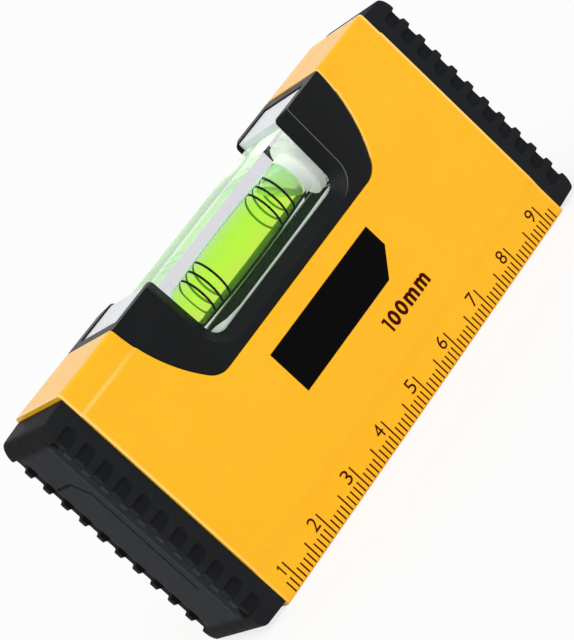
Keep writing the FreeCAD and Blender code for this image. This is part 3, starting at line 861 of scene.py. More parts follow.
@dataclass
class BodyTube:
    """The coated aluminium extrusion: raised fields, the saddle and two magnet holes.

    The thin coat and painted highlight at an end start, are full and stop so far inside it; their
    rise is over heights.
    """

    saddle: Saddle
    half_length: float = 44.2
    half_depth: float = 9.15
    height: float = 48.8
    corner: float = 0.6
    top_corner: float = 0.7
    wall: float = 1.6
    inner_corner: float = 0.6
    field_rise: float = 0.25
    swell: Pair = (5.7, 8.7)
    field_high: float = 43.9
    top_ramp: float = 0.42
    near: Pair = (0.06, 0.2)
    flat: tuple[float, ...] = (0.0, 2.0, 4.0, 6.0)
    start: Triple = (0.0, 0.005, 0.014)
    stop: tuple[float, ...] = (0.976, 0.986, 0.992, 0.996, 1.0)
    # Thin coat and painted highlight inside each end; painted highlights on a saddle edge and the
    # ramp.
    end_pale_and_highlight: Triple = (0.5, 0.25, 0.16)
    end_rise: Pair = (-12.0, 30.0)
    cut_highlight: float = 0.8
    cut_highlight_fade: Pair = (0.14, 0.36)
    cut_above_floor: float = 2.0
    highlight_streak: float = 0.5
    highlight_streak_width: float = 0.7
    highlight_streak_from: Pair = (26.0, 37.0)
    hole_radius: float = 5.1
    hole_reach: float = 24.0
    hole_points: int = 64

    def half_profile(self) -> tuple[Array, Array]:
        """The front half of the wall's outer and inner outline, from the base's middle upwards.

        The outer one is a rounded rectangle whose face stands out by the field's rise, with a soft
        swell at its foot, where the rise follows 3t^2 - 2t^3, and a short ramp at its top. The
        inner one has as many points, each across the wall from its own.

        Returns:
            Two arrays of y and z.
        """
        turn = quarter_turn(TURN_POINTS)
        sin, cos = np.sin(turn), np.cos(turn)
        flat = np.array(self.flat)
        low_face = np.concatenate([np.linspace(self.corner, self.swell[0], 4)[1:],
                                   np.linspace(*self.swell, 11)[1:-1]])
        foot_x, foot_z, bend, _ = self.saddle.foot(0.0)
        low = math.atan2(foot_z - self.saddle.centre, foot_x)
        round_foot = foot_z + bend * np.sin(np.linspace(-math.pi / 2, low, 14))
        near, far = self.near
        high, brink = self.field_high, self.field_high + self.top_ramp
        field_up = np.concatenate([
            np.linspace(self.swell[1], self.saddle.floor, 12)[:-1], round_foot,
            np.linspace(round_foot[-1], high - far, 17)[1:], [high - near, high]])
        top = self.height - self.top_corner
        high_face = np.concatenate([[brink, brink + near, brink + far],
                                    np.linspace(brink + 1.2, top, 3)])
        face = -self.half_depth
        outer = np.concatenate([
            points_of(-flat, 0.0),
            points_of(face + self.corner * (1 - sin), self.corner * (1 - cos)),
            points_of(face - self.field_rise * smoothstep(*self.swell, low_face), low_face),
            points_of(face - self.field_rise, field_up),
            points_of(face, high_face),
            points_of(face + self.top_corner * (1 - cos), top + self.top_corner * sin)[1:],
            points_of(-flat[::-1], self.height)])
        face, bend = self.wall - self.half_depth, self.inner_corner
        low = self.wall + bend
        high = self.height - low
        straight = np.concatenate([low_face, field_up, high_face])
        inner = np.concatenate([
            points_of(-flat, self.wall),
            points_of(face + bend * (1 - sin), self.wall + bend * (1 - cos)),
            points_of(face, np.clip(straight, low, high)),
            points_of(face + bend * (1 - cos), high + bend * sin)[1:],
            points_of(-flat[::-1], self.height - self.wall)])
        return outer, inner

    def skin(self, outline: Array, split: int) -> tuple[Array, Array, Array]:
        """One side of the wall: the lower channel over the whole length and an arch at each end.

        A point of an arch's column u lies at x = w + u (L - w), where w is half the saddle's width
        at its height.

        Args:
            outline: rows of y and z.
            split: which row lies at the saddle's floor.

        Returns:
            Grids of x, y, z for the channel, the right arch and the left one.
        """
        columns = np.concatenate([self.start, np.linspace(0.03, 0.96, 13), self.stop])
        mirror = np.array([-1.0, 1.0])
        lower = np.concatenate([outline[:split + 1][::-1], outline[1:split + 1] * mirror])
        upper = np.concatenate([outline[split:], (outline[split:-1] * mirror)[::-1]])
        foot = float(self.saddle.half_width(np.array([self.saddle.floor]))[0])
        right = foot + columns * (self.half_length - foot)
        x = np.concatenate([-right[::-1], np.linspace(-foot, foot, 21)[1:-1], right])
        inside = self.saddle.half_width(upper[:, 1])[:, None]
        arch = points_of(inside + columns * (self.half_length - inside), upper[:, :1], upper[:, 1:])
        return points_of(x, lower[:, :1], lower[:, 1:]), arch, arch * np.array([-1.0, 1.0, 1.0])

    def patches(self) -> list[Patch]:
        """Both sides of the wall, and the cut edges that join them."""
        outer, inner = self.half_profile()
        split = int(np.argmin(np.abs(outer[:, 1] - self.saddle.floor)))
        skins = self.skin(outer, split), self.skin(inner, split)
        patches = []
        for out, into in zip(*skins):
            skin = grid_patch(out)
            skin.relief = self.pale_coat_and_highlights(skin.points)
            patches += [skin, grid_patch(into)]
        return patches + self.rims(*skins)

    def pale_coat_and_highlights(self, points: Array) -> Array:
        """How pale the coat is made: just inside the ends, at the saddle's edge and on the ramp.

        Inside the ends the coat is thin and also carries a painted highlight, stronger towards the
        top; the saddle's edge and the ramp carry a painted highlight only. The ramp's share is
        s exp(-((z - c) / w)^4), where s grows towards the left end, c is the ramp's middle and w a
        little less than its width.

        Args:
            points: rows of x, y, z on the outer skin.

        Returns:
            A value from 0 to 1 for each point.
        """
        x, y, z = points.T
        facing = np.where(y < 0, x, -x)
        out = np.abs(x)
        length, floor = self.half_length, self.saddle.floor
        start, full, stop = (length - inset for inset in self.end_pale_and_highlight)
        # Thin coat with a painted highlight just inside each end, stronger towards the top.
        end = plateau((start, full), (stop, length), out) * smoothstep(*self.end_rise, z)
        inside = out - self.saddle.half_width(np.maximum(z, floor))
        # Painted highlight along one arm's saddle edge on each face, fading away from the cut.
        edge = (z > floor + self.cut_above_floor) * (facing > 0) * (
            1.0 - smoothstep(*self.cut_highlight_fade, inside))
        middle, width = self.field_high + self.top_ramp / 2, self.highlight_streak_width * self.top_ramp
        # Painted highlight along the top ramp, stronger towards one end.
        highlight_streak = self.highlight_streak * np.exp(-((z - middle) / width) ** 4) * (
            smoothstep(*self.highlight_streak_from, -facing)) * (np.abs(y) > self.half_depth - NEAR)
        return np.maximum(np.maximum(end, self.cut_highlight * edge), highlight_streak)

    def rims(self, out: tuple[Array, ...], into: tuple[Array, ...]) -> list[Patch]:
        """The wall's cut edges: each joins an edge of the outer skin to the inner one's.

        Args:
            out: the outer skin's channel, right arch and left arch.
            into: the inner skin's.

        Returns:
            One strip for each edge.
        """
        arm = out[1].shape[1] - 1
        middle, every = slice(arm, -arm), slice(None)
        edges = [(0, every, 0), (0, every, -1), (0, 0, middle), (0, -1, middle),
                 (1, every, 0), (1, every, -1), (2, every, 0), (2, every, -1)]
        return [grid_patch(np.stack([skin[part][row, column] for skin in (out, into)]))
                for part, row, column in edges]

    def build(self, finishes: Finishes) -> None:
        """Make the body and cut the magnet holes through its base.

        Args:
            finishes: the materials.
        """
        piece = Piece("body_shell", "yellow_coated_aluminium", "body_tube", bevel=0.16,
                      bevel_angle=60.0)
        shell = piece.build(self.patches(), finishes.coat)
        cutters = [self.cutter(side * self.hole_reach) for side in (-1, 1)]
        for cutter in cutters:
            hole = shell.modifiers.new("magnet_hole", "BOOLEAN")
            hole.operation = "DIFFERENCE"
            hole.solver = "EXACT"
            hole.object = cutter
        settle(shell, "BOOLEAN")
        for cutter in cutters:
            bpy.data.objects.remove(cutter)

    def cutter(self, x: float) -> bpy.types.Object:
        """A disc that opens one magnet hole: circles round a vertical axis, closed at both ends.

        Args:
            x: where the hole's middle lies.

        Returns:
            The disc, to be removed when the hole is cut.
        """
        circle = arc((x, 0.0), self.hole_radius, whole_turn(self.hole_points))
        disc = loft_patch([points_of(circle[:, 0], circle[:, 1], z)
                           for z in (-1.0, self.wall + 1.0)])
        mesh = new_mesh("cutter", disc.points, disc.faces)
        mend(mesh)
        return linked("cutter", mesh)


def settle(piece: bpy.types.Object, kind: str) -> None:
    """Work one kind of modifier into the piece's mesh and leave the others live.

    Args:
        piece: the object.
        kind: the type of the modifiers to apply.
    """
    others = [modifier for modifier in piece.modifiers if modifier.type != kind]
    for modifier in others:
        modifier.show_viewport = False
    old, piece.data = piece.data, evaluated_mesh(piece)
    bpy.data.meshes.remove(old)
    for modifier in list(piece.modifiers):
        if modifier.type == kind:
            piece.modifiers.remove(modifier)
    for modifier in others:
        modifier.show_viewport = True
    piece.data.set_sharp_from_angle(angle=math.radians(SMOOTH_BELOW))


@dataclass
class WindowSurround:
    """A black moulded frame on one face: a rim in the saddle, a plate and a sloping bevel.

    A row of the crease says how far outside the bevel's edge it lies, how far below the face, and
    whether it carries the painted highlight.
    """

    saddle: Saddle
    opening: Opening
    face: float = 9.4
    plate_back: float = 7.2
    middle: float = 0.05
    top: float = 48.65
    gap: float = 0.1
    rim: float = 2.5
    bevel_width: float = 2.2
    bevel_depth: float = 2.0
    lip_round: float = 0.9
    edge_round: float = 0.3
    # The crease's painted highlight fades in along the right arm over these x.
    crease_highlight_from: Pair = (15.0, 19.8)
    crease: tuple[Triple, ...] = (
        (0.34, 0.0, 0.0), (0.16, 0.008, 0.0), (0.07, 0.02, 0.0), (0.02, 0.036, 1.0),
        (-0.02, 0.06, 1.0), (-0.07, 0.1, 0.0), (-0.16, 0.175, 0.0))

    def sections(self) -> tuple[list[Array], list[Array]]:
        """The frame's edges from the outer wall round the face and the window to the room behind.

        The outer edge is a quarter circle. The crease between the face and the bevel is a short
        arc, with a painted highlight along its middle on the right arm.

        Returns:
            The edges, and how rubbed each of their points is.
        """
        outer, room = (self.saddle.path(inset, self.top) for inset in (self.gap, self.rim))
        lip = self.opening.path(0.0, self.top, self.lip_round)
        found = [(at_depth(outer, -self.middle), 0.0)]
        for turn in quarter_turn(5):
            inset = self.gap + self.edge_round * (1 - math.cos(turn))
            depth = self.face - self.edge_round * (1 - math.sin(turn))
            found.append((at_depth(self.saddle.path(inset, self.top), -depth), 0.0))
        wide = self.crease[0][0]
        for past, sink, painted_light_share in (*self.crease,
                                   (-wide, wide * self.bevel_depth / self.bevel_width, 0.0)):
            path = self.opening.path(self.bevel_width + past, self.top, self.lip_round / 2)
            found.append((at_depth(path, sink - self.face), painted_light_share))
        found += [(at_depth(path, -depth), 0.0) for path, depth in (
            (lip, self.face - self.bevel_depth), (lip, self.plate_back),
            (room, self.plate_back), (room, self.middle))]
        painted_light = [painted_light_share * smoothstep(*self.crease_highlight_from, path[:, 0]) for path, painted_light_share in found]
        return [path for path, _ in found], painted_light

    def build(self, side: Side, finishes: Finishes) -> None:
        """Make the frame of one face.

        Args:
            side: which one it is.
            finishes: the materials.
        """
        paths, painted_light_share = self.sections()
        solid = band_patch(paths)
        # The crease's painted highlight goes in as each point's relief value.
        solid.relief = np.concatenate(painted_light_share)
        Piece(f"window_frame_{side.value}", "black_plastic", f"{side.value}_surround", bevel=0.09,
              bevel_angle=60.0).build([solid.turned(side.turn)], finishes.surround)


@dataclass
class VialCarrier:
    """The milky moulding that lies in the saddle between the surrounds and holds the block."""

    saddle: Saddle
    nest: Opening
    half_depth: float = 7.15
    top: float = 48.4
    inset: float = 2.6

    def build(self, finishes: Finishes) -> None:
        """Make the moulding from the saddle's path and the nest's, carried across the depth.

        Args:
            finishes: the materials.
        """
        outer = self.saddle.path(self.inset, self.top)
        inner = self.nest.path(0.0, self.top)
        solid = band_patch([at_depth(path, side * self.half_depth) for path, side in (
            (outer, -1), (outer, 1), (inner, 1), (inner, -1))])
        Piece("vial_cradle", "white_plastic", "vial_carrier", bevel=0.2).build(
            [solid], finishes.carrier)


@dataclass
class EndCap:
    """A moulded end cap: ribs between wrapped notches, a channel at each side, an engraved line.

    An arc's three numbers are where it starts, its height and how far the end draws back along it.
    The tones are painted light and shade: how much of the paler colour the panel, the banks, the
    rear ribs, the top and the faces get.
    """

    base: float = 44.25
    end: float = 50.1
    low: float = 0.7
    high: float = 48.1
    half_depth: float = 9.0
    edge: float = 0.65
    fall: float = 0.3
    top_arc: Triple = (45.3, 3.0, 2.0)
    foot_arc: Triple = (3.3, 2.75, 1.3)
    rim_round: float = 0.25
    relief: float = 0.6
    soft: Pair = (0.1, -0.3)
    notches: int = 11
    notch_first: float = 4.9
    notch_pitch: float = 3.9
    notch_half: float = 1.2
    notch_start: float = 46.6
    notch_corner: float = 0.7
    notch_rows: tuple[float, ...] = (0.0, 0.4, 0.82, 0.96, 1.06, 1.16, 1.26, 1.36, 1.6)
    start_columns: tuple[float, ...] = (-0.5, -0.25, -0.12, 0.0, 0.12, 0.25, 0.4, 0.6)
    turn_columns: tuple[float, ...] = (-0.36, -0.24, -0.12, 0.0, 0.12, 0.24, 0.36)
    channel_corner: float = 0.3
    channel: Pair = (4.9, 7.2)
    channel_z: Pair = (5.0, 43.8)
    bank: float = 1.7
    panel: Pair = (4.0, 44.8)
    # Painted light and shade: the share of the paler colour on each part.
    tones: tuple[float, float, float, float, float] = (0.42, 0.9, 0.55, 0.08, 0.26)
    panel_soft: float = 0.6
    bank_soft: float = 0.1
    bank_fade: Pair = (0.3, 0.6)
    rib_margin: float = 0.3
    cut_shade: Pair = (0.5, 0.3)
    top_fade: float = 0.8
    # Painted light on the top face, fading out towards the end.
    top_lit: Pair = (0.12, 0.02)
    top_lit_to: Pair = (46.5, 49.5)
    line_width: float = 0.4
    line_depth: float = 0.25
    line_soft: Pair = (0.06, 0.16)
    line_step: float = 0.14
    line: tuple[Pair, ...] = ((-4.65, 37.4), (0.35, 37.4), (3.35, 34.4), (3.35, 11.8))
    spigot_ends: Pair = (0.2, -8.05)
    spigot_half: float = 7.45
    spigot_z: Pair = (1.7, 47.1)
    spigot_wall: float = 1.5
    spigot_corners: Pair = (0.6, 0.2)

    def centres(self) -> Array:
        """The heights of the notches' middles."""
        return self.notch_first + self.notch_pitch * np.arange(self.notches)

    def rows(self) -> Array:
        """The heights of the grid's rows: close together at the round ends, notches and line."""
        rim = self.rim_round * (1.0 - np.sin(quarter_turn(6)))
        steps = np.array(self.notch_rows)
        notch = (self.centres()[:, None] + np.concatenate([-steps, steps])).ravel()
        line = np.arange(self.line[2][1] - 0.5, self.line[0][1] + 0.5, self.line_step)
        return spaced(np.concatenate([
            self.high - rim, np.linspace(self.top_arc[0], self.high - self.rim_round, 16),
            self.low + rim, np.linspace(self.low + self.rim_round, self.foot_arc[0], 14),
            notch, line]), 4, 0.02)

    def plan(self) -> tuple[Array, Array, Array]:
        """The plan outline of the cap from the front face round the end to the rear face.

        A corner's point at the angle a is (e - r + r sin a, r - d - r cos a), where e is the end,
        r the corner radius and d half the depth. The unrolled length s runs from the base along a
        face and round the corner to the end face's middle, on both sides alike.

        Returns:
            The points' x and y, the outward normals' x and y, and each point's s.
        """
        corner_x = self.end - self.edge
        corner_y = self.half_depth - self.edge
        side = np.unique(np.concatenate([np.linspace(self.base, corner_x, 9),
                                         self.notch_start + np.array(self.start_columns)]))
        turn = quarter_turn(TURN_POINTS)[1:]
        sin, cos = np.sin(turn), np.cos(turn)
        turns = np.array([self.channel[0], self.channel[0] + self.bank, self.channel[1]])
        marks = (turns[:, None] + np.array(self.turn_columns)).ravel()
        half = np.concatenate([marks, np.linspace(0.0, corner_y, 15)[:-1]])
        line = np.arange(-0.2, 3.9, self.line_step)
        across = spaced(np.concatenate([-half, half, line]), 3, 0.03)
        front = np.concatenate([points_of(side, -self.half_depth),
                                points_of(corner_x + self.edge * sin, -corner_y - self.edge * cos)])
        front_normal = np.concatenate([points_of(0.0 * side, -1.0), points_of(sin, -cos)])
        mirror = np.array([1.0, -1.0])
        points = np.concatenate([front, points_of(self.end, across), (front * mirror)[::-1]])
        normals = np.concatenate([front_normal, points_of(1.0, 0.0 * across),
                                  (front_normal * mirror)[::-1]])
        along = np.concatenate([side - self.base, corner_x - self.base + self.edge * turn])
        return points, normals, np.concatenate([along, self.unrolled(across), along[::-1]])

    def unrolled(self, across: Array | float) -> Array | float:
        """The unrolled length at a y on the end face: the same on both sides of its middle."""
        bend = self.end - self.edge - self.base + self.edge * math.pi / 2
        return bend + self.half_depth - self.edge - np.abs(across)

    def carved(self, length: Array, height: Array) -> Array:
        """How deep the notches and channels are cut, from 0 to 1.

        Each is a box in the unrolled length and the height, and a soft step of the distance to it
        gives the depth. A channel's depth also grows evenly across its bank, on the side of the
        end face's middle.

        Args:
            length: each point's unrolled length.
            height: each point's height.

        Returns:
            The share of the full relief.
        """
        centres = self.centres()
        nearest = centres[np.argmin(np.abs(height[..., None] - centres), axis=-1)]
        notch_end = float(self.unrolled(self.channel[1] - self.notch_corner))
        channel_end, channel_start = (float(self.unrolled(side)) for side in self.channel)
        notch = box_distance(length, height, (self.notch_start - self.base, notch_end),
                             about(0.0, self.notch_half), nearest, self.notch_corner)
        channel = box_distance(length, height, (channel_start, channel_end), self.channel_z, 0.0,
                               self.channel_corner)
        high, low = self.soft
        steps = [smoothstep(0.0, 1.0, (high - gap) / (high - low)) for gap in (notch, channel)]
        bank = np.clip((channel_end - length) / self.bank, 0.0, 1.0)
        return np.maximum(steps[0], steps[1] * bank)

    def engraved(self, across: Array, height: Array) -> Array:
        """How deep the line is cut: the distance to its nearest segment through a soft step.

        Args:
            across: each point's y.
            height: each point's height.

        Returns:
            The share of the line's depth, from 0 to 1.
        """
        point = points_of(across, height)
        nearest = np.full(across.shape, np.inf)
        for start, end in zip(self.line[:-1], self.line[1:]):
            along = np.array(end) - start
            share = np.clip((point - start) @ along / (along @ along), 0.0, 1.0)
            gap = np.linalg.norm(point - start - share[..., None] * along, axis=-1)
            nearest = np.minimum(nearest, gap)
        past, soft = self.line_soft
        return smoothstep(0.0, 1.0, (self.line_width / 2 + past - nearest) / soft)

    def head(self) -> Patch:
        """The cap's head as loops from the foot to the top, with the reliefs pressed in.

        The end draws back towards the top and the foot along an ellipse: at the share t of its
        height the draw is d (1 - sqrt(1 - t^2)). The rim is round by the same rule. The top and
        foot fall a little towards the end. A relief moves a point in along its normal.

        Returns:
            The closed head.
        """
        points, normals, length = self.plan()
        heights = self.rows()
        recess = np.zeros(len(heights))
        for sign, (start, tall, deep) in ((1.0, self.top_arc), (-1.0, self.foot_arc)):
            share = np.clip(sign * (heights - start) / tall, 0.0, 1.0)
            recess += deep * (1 - np.sqrt(1 - share ** 2))
        near = np.minimum(self.high - heights, heights - self.low)
        rim = np.clip(1.0 - near / self.rim_round, 0.0, 1.0)
        draw = self.rim_round * (1 - np.sqrt(1 - rim ** 2))
        x_scale = 1.0 - (recess + draw) / (self.end - self.base)
        y_scale = 1.0 - draw / self.half_depth
        x = self.base + (points[:, 0] - self.base) * x_scale[:, None]
        y = points[:, 1] * y_scale[:, None]
        z = np.broadcast_to(heights[:, None], x.shape)
        carved = self.carved(np.broadcast_to(length, x.shape), z)
        on_end = np.broadcast_to(normals[:, 0] > 0.99, x.shape)
        line = np.where(on_end, self.engraved(y, z), 0.0)
        depth = np.maximum(self.relief * carved, self.line_depth * line)
        x = x - depth * normals[:, 0]
        y = y - depth * normals[:, 1]
        painted_light = self.painted_light(x, y, z, on_end, carved, line)
        middle = (self.low + self.high) / 2
        share = (x - self.base) / (self.end - self.base)
        z = middle + (z - middle) * (1.0 - self.fall * share / (self.high - middle))
        back = np.linspace(self.half_depth, -self.half_depth, 9)[1:-1] * y_scale[:, None]
        grid = np.concatenate([points_of(x, y, z), points_of(self.base, back, heights[:, None])], 1)
        patch = loft_patch(grid)
        painted_light = np.concatenate([painted_light, np.zeros(back.shape)], 1)
        patch.relief = np.append(painted_light, [0.0, 0.0])
        return patch

    def painted_light(self, x: Array, y: Array, z: Array, on_end: Array, carved: Array,
             line: Array) -> Array:
        """How much painted light each point gets; painted shade is where it gets little.

        Args:
            x: the points' x.
            y: their y.
            z: their height.
            on_end: which of them lie on the end face.
            carved: the share of the relief that is cut there.
            line: the share of the line's depth.

        Returns:
            A value from 0 to 1 for each point.
        """
        panel, bank, rib, top_face, face = self.tones
        near, far = self.channel
        out = np.abs(y)
        within = plateau(*(about(height, self.panel_soft) for height in self.panel), z)
        fade, gone = self.bank_fade
        sloped = plateau(about(near, self.bank_soft), (near + fade, near + gone), out)
        rib_shade, face_shade = self.cut_shade
        # Painted light on the rear ribs, less in their notches as painted shade.
        ribs = np.where(y > 0, rib, 0.0) * (1.0 - rib_shade * carved)
        # Painted light on the panel; the channel beside it keeps the dark colour as painted shade.
        tone = np.where(out > far - self.rib_margin, ribs, panel * (out < near + self.bank))
        # On the end the engraved line is left dark as painted shade; the faces get painted light,
        # less in the notches.
        tone = np.where(on_end, within * np.maximum(tone * (1.0 - line), bank * sloped),
                        face * (1.0 - face_shade * carved))
        # Painted light on the top face near the base.
        start, full = (self.high - below for below in self.top_lit)
        top = smoothstep(start, full, z) * (1.0 - smoothstep(*self.top_lit_to, x))
        # Painted shade on the rounding where the end draws back at the top.
        drawn = smoothstep(self.top_arc[0], self.top_arc[0] + self.top_fade, z) * on_end
        return np.maximum(tone * (1.0 - drawn), top_face * top)

    def spigot(self) -> Patch:
        """The hollow plug in the tube: outer and inner rounded rectangles joined at both ends."""
        near, far = (self.base + reach for reach in self.spigot_ends)
        loops = []
        for inset, corner, x in zip((0.0, 0.0, self.spigot_wall, self.spigot_wall),
                                    np.repeat(self.spigot_corners, 2), (near, far, far, near)):
            low, high = self.spigot_z[0] + inset, self.spigot_z[1] - inset
            loops.append(rounded_loop(x, self.spigot_half - inset, low, high, corner))
        return grid_patch(np.stack(loops), wrap_rows=True, wrap_columns=True)

    def build(self, side: Side, finishes: Finishes) -> None:
        """Make the cap of one end.

        Args:
            side: which one it is.
            finishes: the materials.
        """
        Piece(f"grip_cap_{side.value}", "black_plastic", f"end_cap_{side.value}",
              smooth_angle=32.0).build([patch.turned(side.turn) for patch in (
                  self.head(), self.spigot())], finishes.cap)


def box_distance(across: Array, up: Array, span: Pair, rise: Pair, origin: Array | float,
                 corner: float) -> Array:
    """The signed distance from points to a round-cornered box, below zero inside it.

    Args:
        across: the points' first coordinate.
        up: the points' second coordinate.
        span: the box's range in the first.
        rise: the box's range in the second, from the origin.
        origin: where that range is measured from, for each point.
        corner: the radius of the box's corners.

    Returns:
        |max(q, 0)| + min(max(q), 0) - c, where c is the corner radius and q the distance beyond
        the box's half sizes less c.
    """
    q_across = np.abs(across - sum(span) / 2) - (span[1] - span[0]) / 2 + corner
    q_up = np.abs(up - origin - sum(rise) / 2) - (rise[1] - rise[0]) / 2 + corner
    outside = np.hypot(np.maximum(q_across, 0.0), np.maximum(q_up, 0.0))
    return outside + np.minimum(np.maximum(q_across, q_up), 0.0) - corner


def rounded_loop(x: float, half: float, low: float, high: float, corner: float) -> Array:
    """A rounded rectangle across the level at an x, from y = -half to half and low to high.

    Args:
        x: where it lies along the level.
        half: half its width.
        low: the height of its foot.
        high: the height of its top.
        corner: the radius of its corners.

    Returns:
        Rows of x, y, z.
    """
    side, top, foot = half - corner, high - corner, low + corner
    centres = (side, top), (-side, top), (-side, foot), (side, foot)
    path = np.concatenate([arc(centre, corner, number * math.pi / 2 + quarter_turn(6))
                           for number, centre in enumerate(centres)])
    return points_of(x, path[:, 0], path[:, 1])


class BlockSkin(IntEnum):
    """The numbers of the block's finishes: clear or wetted, glued, sawn, scuffed or the window."""

    CLEAR = 0
    WETTED = 1
    SEAT = 2
    SAWN = 3
    HAZED = 4
    WINDOW = 5
    FILLET = 6


@dataclass
class Vial:
    """The clear block with its barrel bore, the stopper, the dyed liquid and the bubble in it.

    The sawn edge's rows are places along the block and how far it is sawn off there. The bubble's
    back is its profile against the stopper, and its rings the shares of its radius on its face.
    """

    axis: float = 40.0
    half_length: float = 19.0
    half_depth: float = 7.05
    floor: float = 34.2
    top: float = 47.0
    middle: float = -0.7
    bore: float = 4.35
    barrel: float = 260.0
    bore_left: float = -16.8
    tip_radius: float = 2.3
    tip_length: float = 1.4
    nose: float = 14.95
    cup_length: float = 1.4
    seat: float = 17.2
    flange: float = 5.5
    plug_slack: float = 0.5
    rim_bevel: float = 0.12
    glue: float = 0.03
    count: int = 96
    seat_rise: Pair = (0.38, 0.62)
    sawn: tuple[Pair, ...] = ((19.0, 0.15), (18.0, 0.6), (8.0, 0.42), (-10.5, 0.36), (-14.0, 0.75),
                                             (-16.3, 1.4), (-19.0, 1.7))
    ring_width: float = 0.44
    ring_sink: float = 0.03
    ring_depth: float = 0.05
    rings: int = 6
    skin_gap: float = 0.01
    surface_run: float = 11.6
    surface_slope: float = 0.739
    surface_end: float = 14.6
    curl: Pair = (0.35, 0.25)
    air_radius: float = 3.58
    air_points: int = 80
    back: tuple[Pair, ...] = ((16.1, 1.1), (16.08, 2.1), (15.6, 2.75), (15.05, 3.3), (14.85, 3.5),
                              (14.7, 3.58))
    rings_on_face: tuple[float, ...] = (1.0, 0.985, 0.95, 0.88, 0.78, 0.6, 0.4, 0.2)

    def barrel_radius(self, x: Array | float) -> Array | float:
        """The bore's radius at x: r - (x - m)^2 / 2R, the barrel's arc."""
        return self.bore - (x - self.middle) ** 2 / (2 * self.barrel)

    def bore_profile(self, gap: float, right: float) -> Array:
        """The bore's x and radius from its left end to a place on the right, less a gap.

        Args:
            gap: how much smaller it is made.
            right: the place on the right.

        Returns:
            Rows of x and radius.
        """
        shoulder = self.bore_left + self.tip_length
        x = np.linspace(shoulder, right, 40)
        tip = points_of(self.bore_left + gap, [self.tip_radius / 2, self.tip_radius - gap])
        return np.concatenate([tip, points_of(x, self.barrel_radius(x) - gap)])

    def block_loop(self, x: float, sawn: float) -> Array:
        """The block's outline at x, met by rays from the axis: its lower front edge is sawn off.

        Args:
            x: where it lies along the block.
            sawn: how far the edge is sawn off there.

        Returns:
            Rows of x, y, z.
        """
        angles = self.block_angles(sawn)
        cos, sin = np.cos(angles), np.sin(angles)
        with np.errstate(divide="ignore"):
            sideways = self.half_depth / np.abs(cos)
            upright = np.where(sin > 0, self.top - self.axis, self.axis - self.floor) / np.abs(sin)
        slanted = (self.half_depth + self.axis - self.floor - sawn) / (np.abs(cos) + np.abs(sin))
        reach = np.minimum(sideways, upright)
        reach = np.where((cos < 0) & (sin < 0), np.minimum(reach, slanted), reach)
        return points_of(x, reach * cos, self.axis + reach * sin)

    def block_angles(self, sawn: float) -> Array:
        """Even angles round the axis, with the block's corners and the rear glue's top among them.

        Args:
            sawn: how far the lower front edge is sawn off.

        Returns:
            Equally many angles for any such width.
        """
        up = math.atan2(self.top - self.axis, self.half_depth)
        down = math.atan2(self.floor - self.axis, self.half_depth)
        cut = [math.atan2(self.axis - self.floor - sawn, self.half_depth),
               math.atan2(self.axis - self.floor, self.half_depth - sawn)]
        squeezed = [math.atan2(self.floor + rise - self.axis, self.half_depth)
                    for rise in self.seat_rise]
        corners = np.array([up, math.pi - up, *[2 * math.pi + low for low in (down, *squeezed)]])
        even = whole_turn(self.count)
        clear = (np.min(np.abs(even[:, None] - corners), axis=1) > 0.03) & (
            np.abs(even - math.pi + down) > 0.13)
        return np.sort(np.concatenate([even[clear], corners, math.pi + np.array(cut)]))

    def block(self) -> Patch:
        """The block from the bore's closed end, out of its mouth and over the outside."""
        angles = self.block_angles(self.sawn[0][1])
        seat = self.flange + self.glue
        profile = np.concatenate([self.bore_profile(0.0, self.nose), [
            [self.seat, self.barrel_radius(self.nose)], [self.seat, seat],
            [self.half_length, seat]]])
        loops = turned_loops(profile, self.axis, angles)
        loops += [self.block_loop(x, cut) for x, cut in self.sawn]
        finishes = [BlockSkin.WETTED] * (len(profile) - 1) + [BlockSkin.CLEAR] * len(self.sawn)
        patch = loft_patch(loops, finishes)
        x, y, z = np.array([patch.points[face].mean(axis=0) for face in patch.faces]).T
        rear, floor = y > self.half_depth - NEAR, z < self.floor + NEAR
        inside = (np.abs(x) < self.half_length - NEAR) & ~floor & (
            np.abs(y) < self.half_depth - NEAR)
        low_front = inside & (y < 0) & (z < self.axis) & (
            np.hypot(y, z - self.axis) > self.flange + 1.0)
        # The fillet's pale green, the sawn edge's pale glowing finish and the hazed top's glow are
        # painted light.
        for found, finish in (
                (rear & (z < self.floor + self.seat_rise[1]), BlockSkin.FILLET),
                (rear & (z < self.floor + self.seat_rise[0]), BlockSkin.SEAT),
                (floor, BlockSkin.SEAT), (low_front, BlockSkin.SAWN),
                (z > self.top - NEAR, BlockSkin.HAZED),
                (y < NEAR - self.half_depth, BlockSkin.WINDOW)):
            patch.finish = np.where(found, finish, patch.finish)
        return patch

    def stopper(self) -> Patch:
        """The stopper: a cup that closes the liquid, a barrel in the bore and a seated flange."""
        cup_end, seat = self.nose + self.cup_length, self.seat + self.glue
        barrel = self.bore - self.plug_slack
        profile = np.array([
            [cup_end, self.tip_radius / 2], [cup_end, self.tip_radius],
            [self.nose, barrel - self.rim_bevel], [self.nose, barrel], [seat, barrel],
            [seat, self.flange], [self.half_length, self.flange],
            [self.half_length, self.flange / 2]])
        return loft_patch(turned_loops(profile, self.axis, whole_turn(64)))

    def liquid(self) -> Patch:
        """The liquid's whole body: the bore and the stopper's cup, just inside their walls."""
        gap = self.skin_gap
        mouth, end = self.nose - gap, self.nose + self.cup_length - gap
        rim = self.bore - self.plug_slack - self.rim_bevel
        profile = np.concatenate([self.bore_profile(gap, mouth), [
            [mouth, rim], [end, self.tip_radius - gap], [end, self.tip_radius / 2]]])
        return loft_patch(turned_loops(profile, self.axis, whole_turn(self.count)))

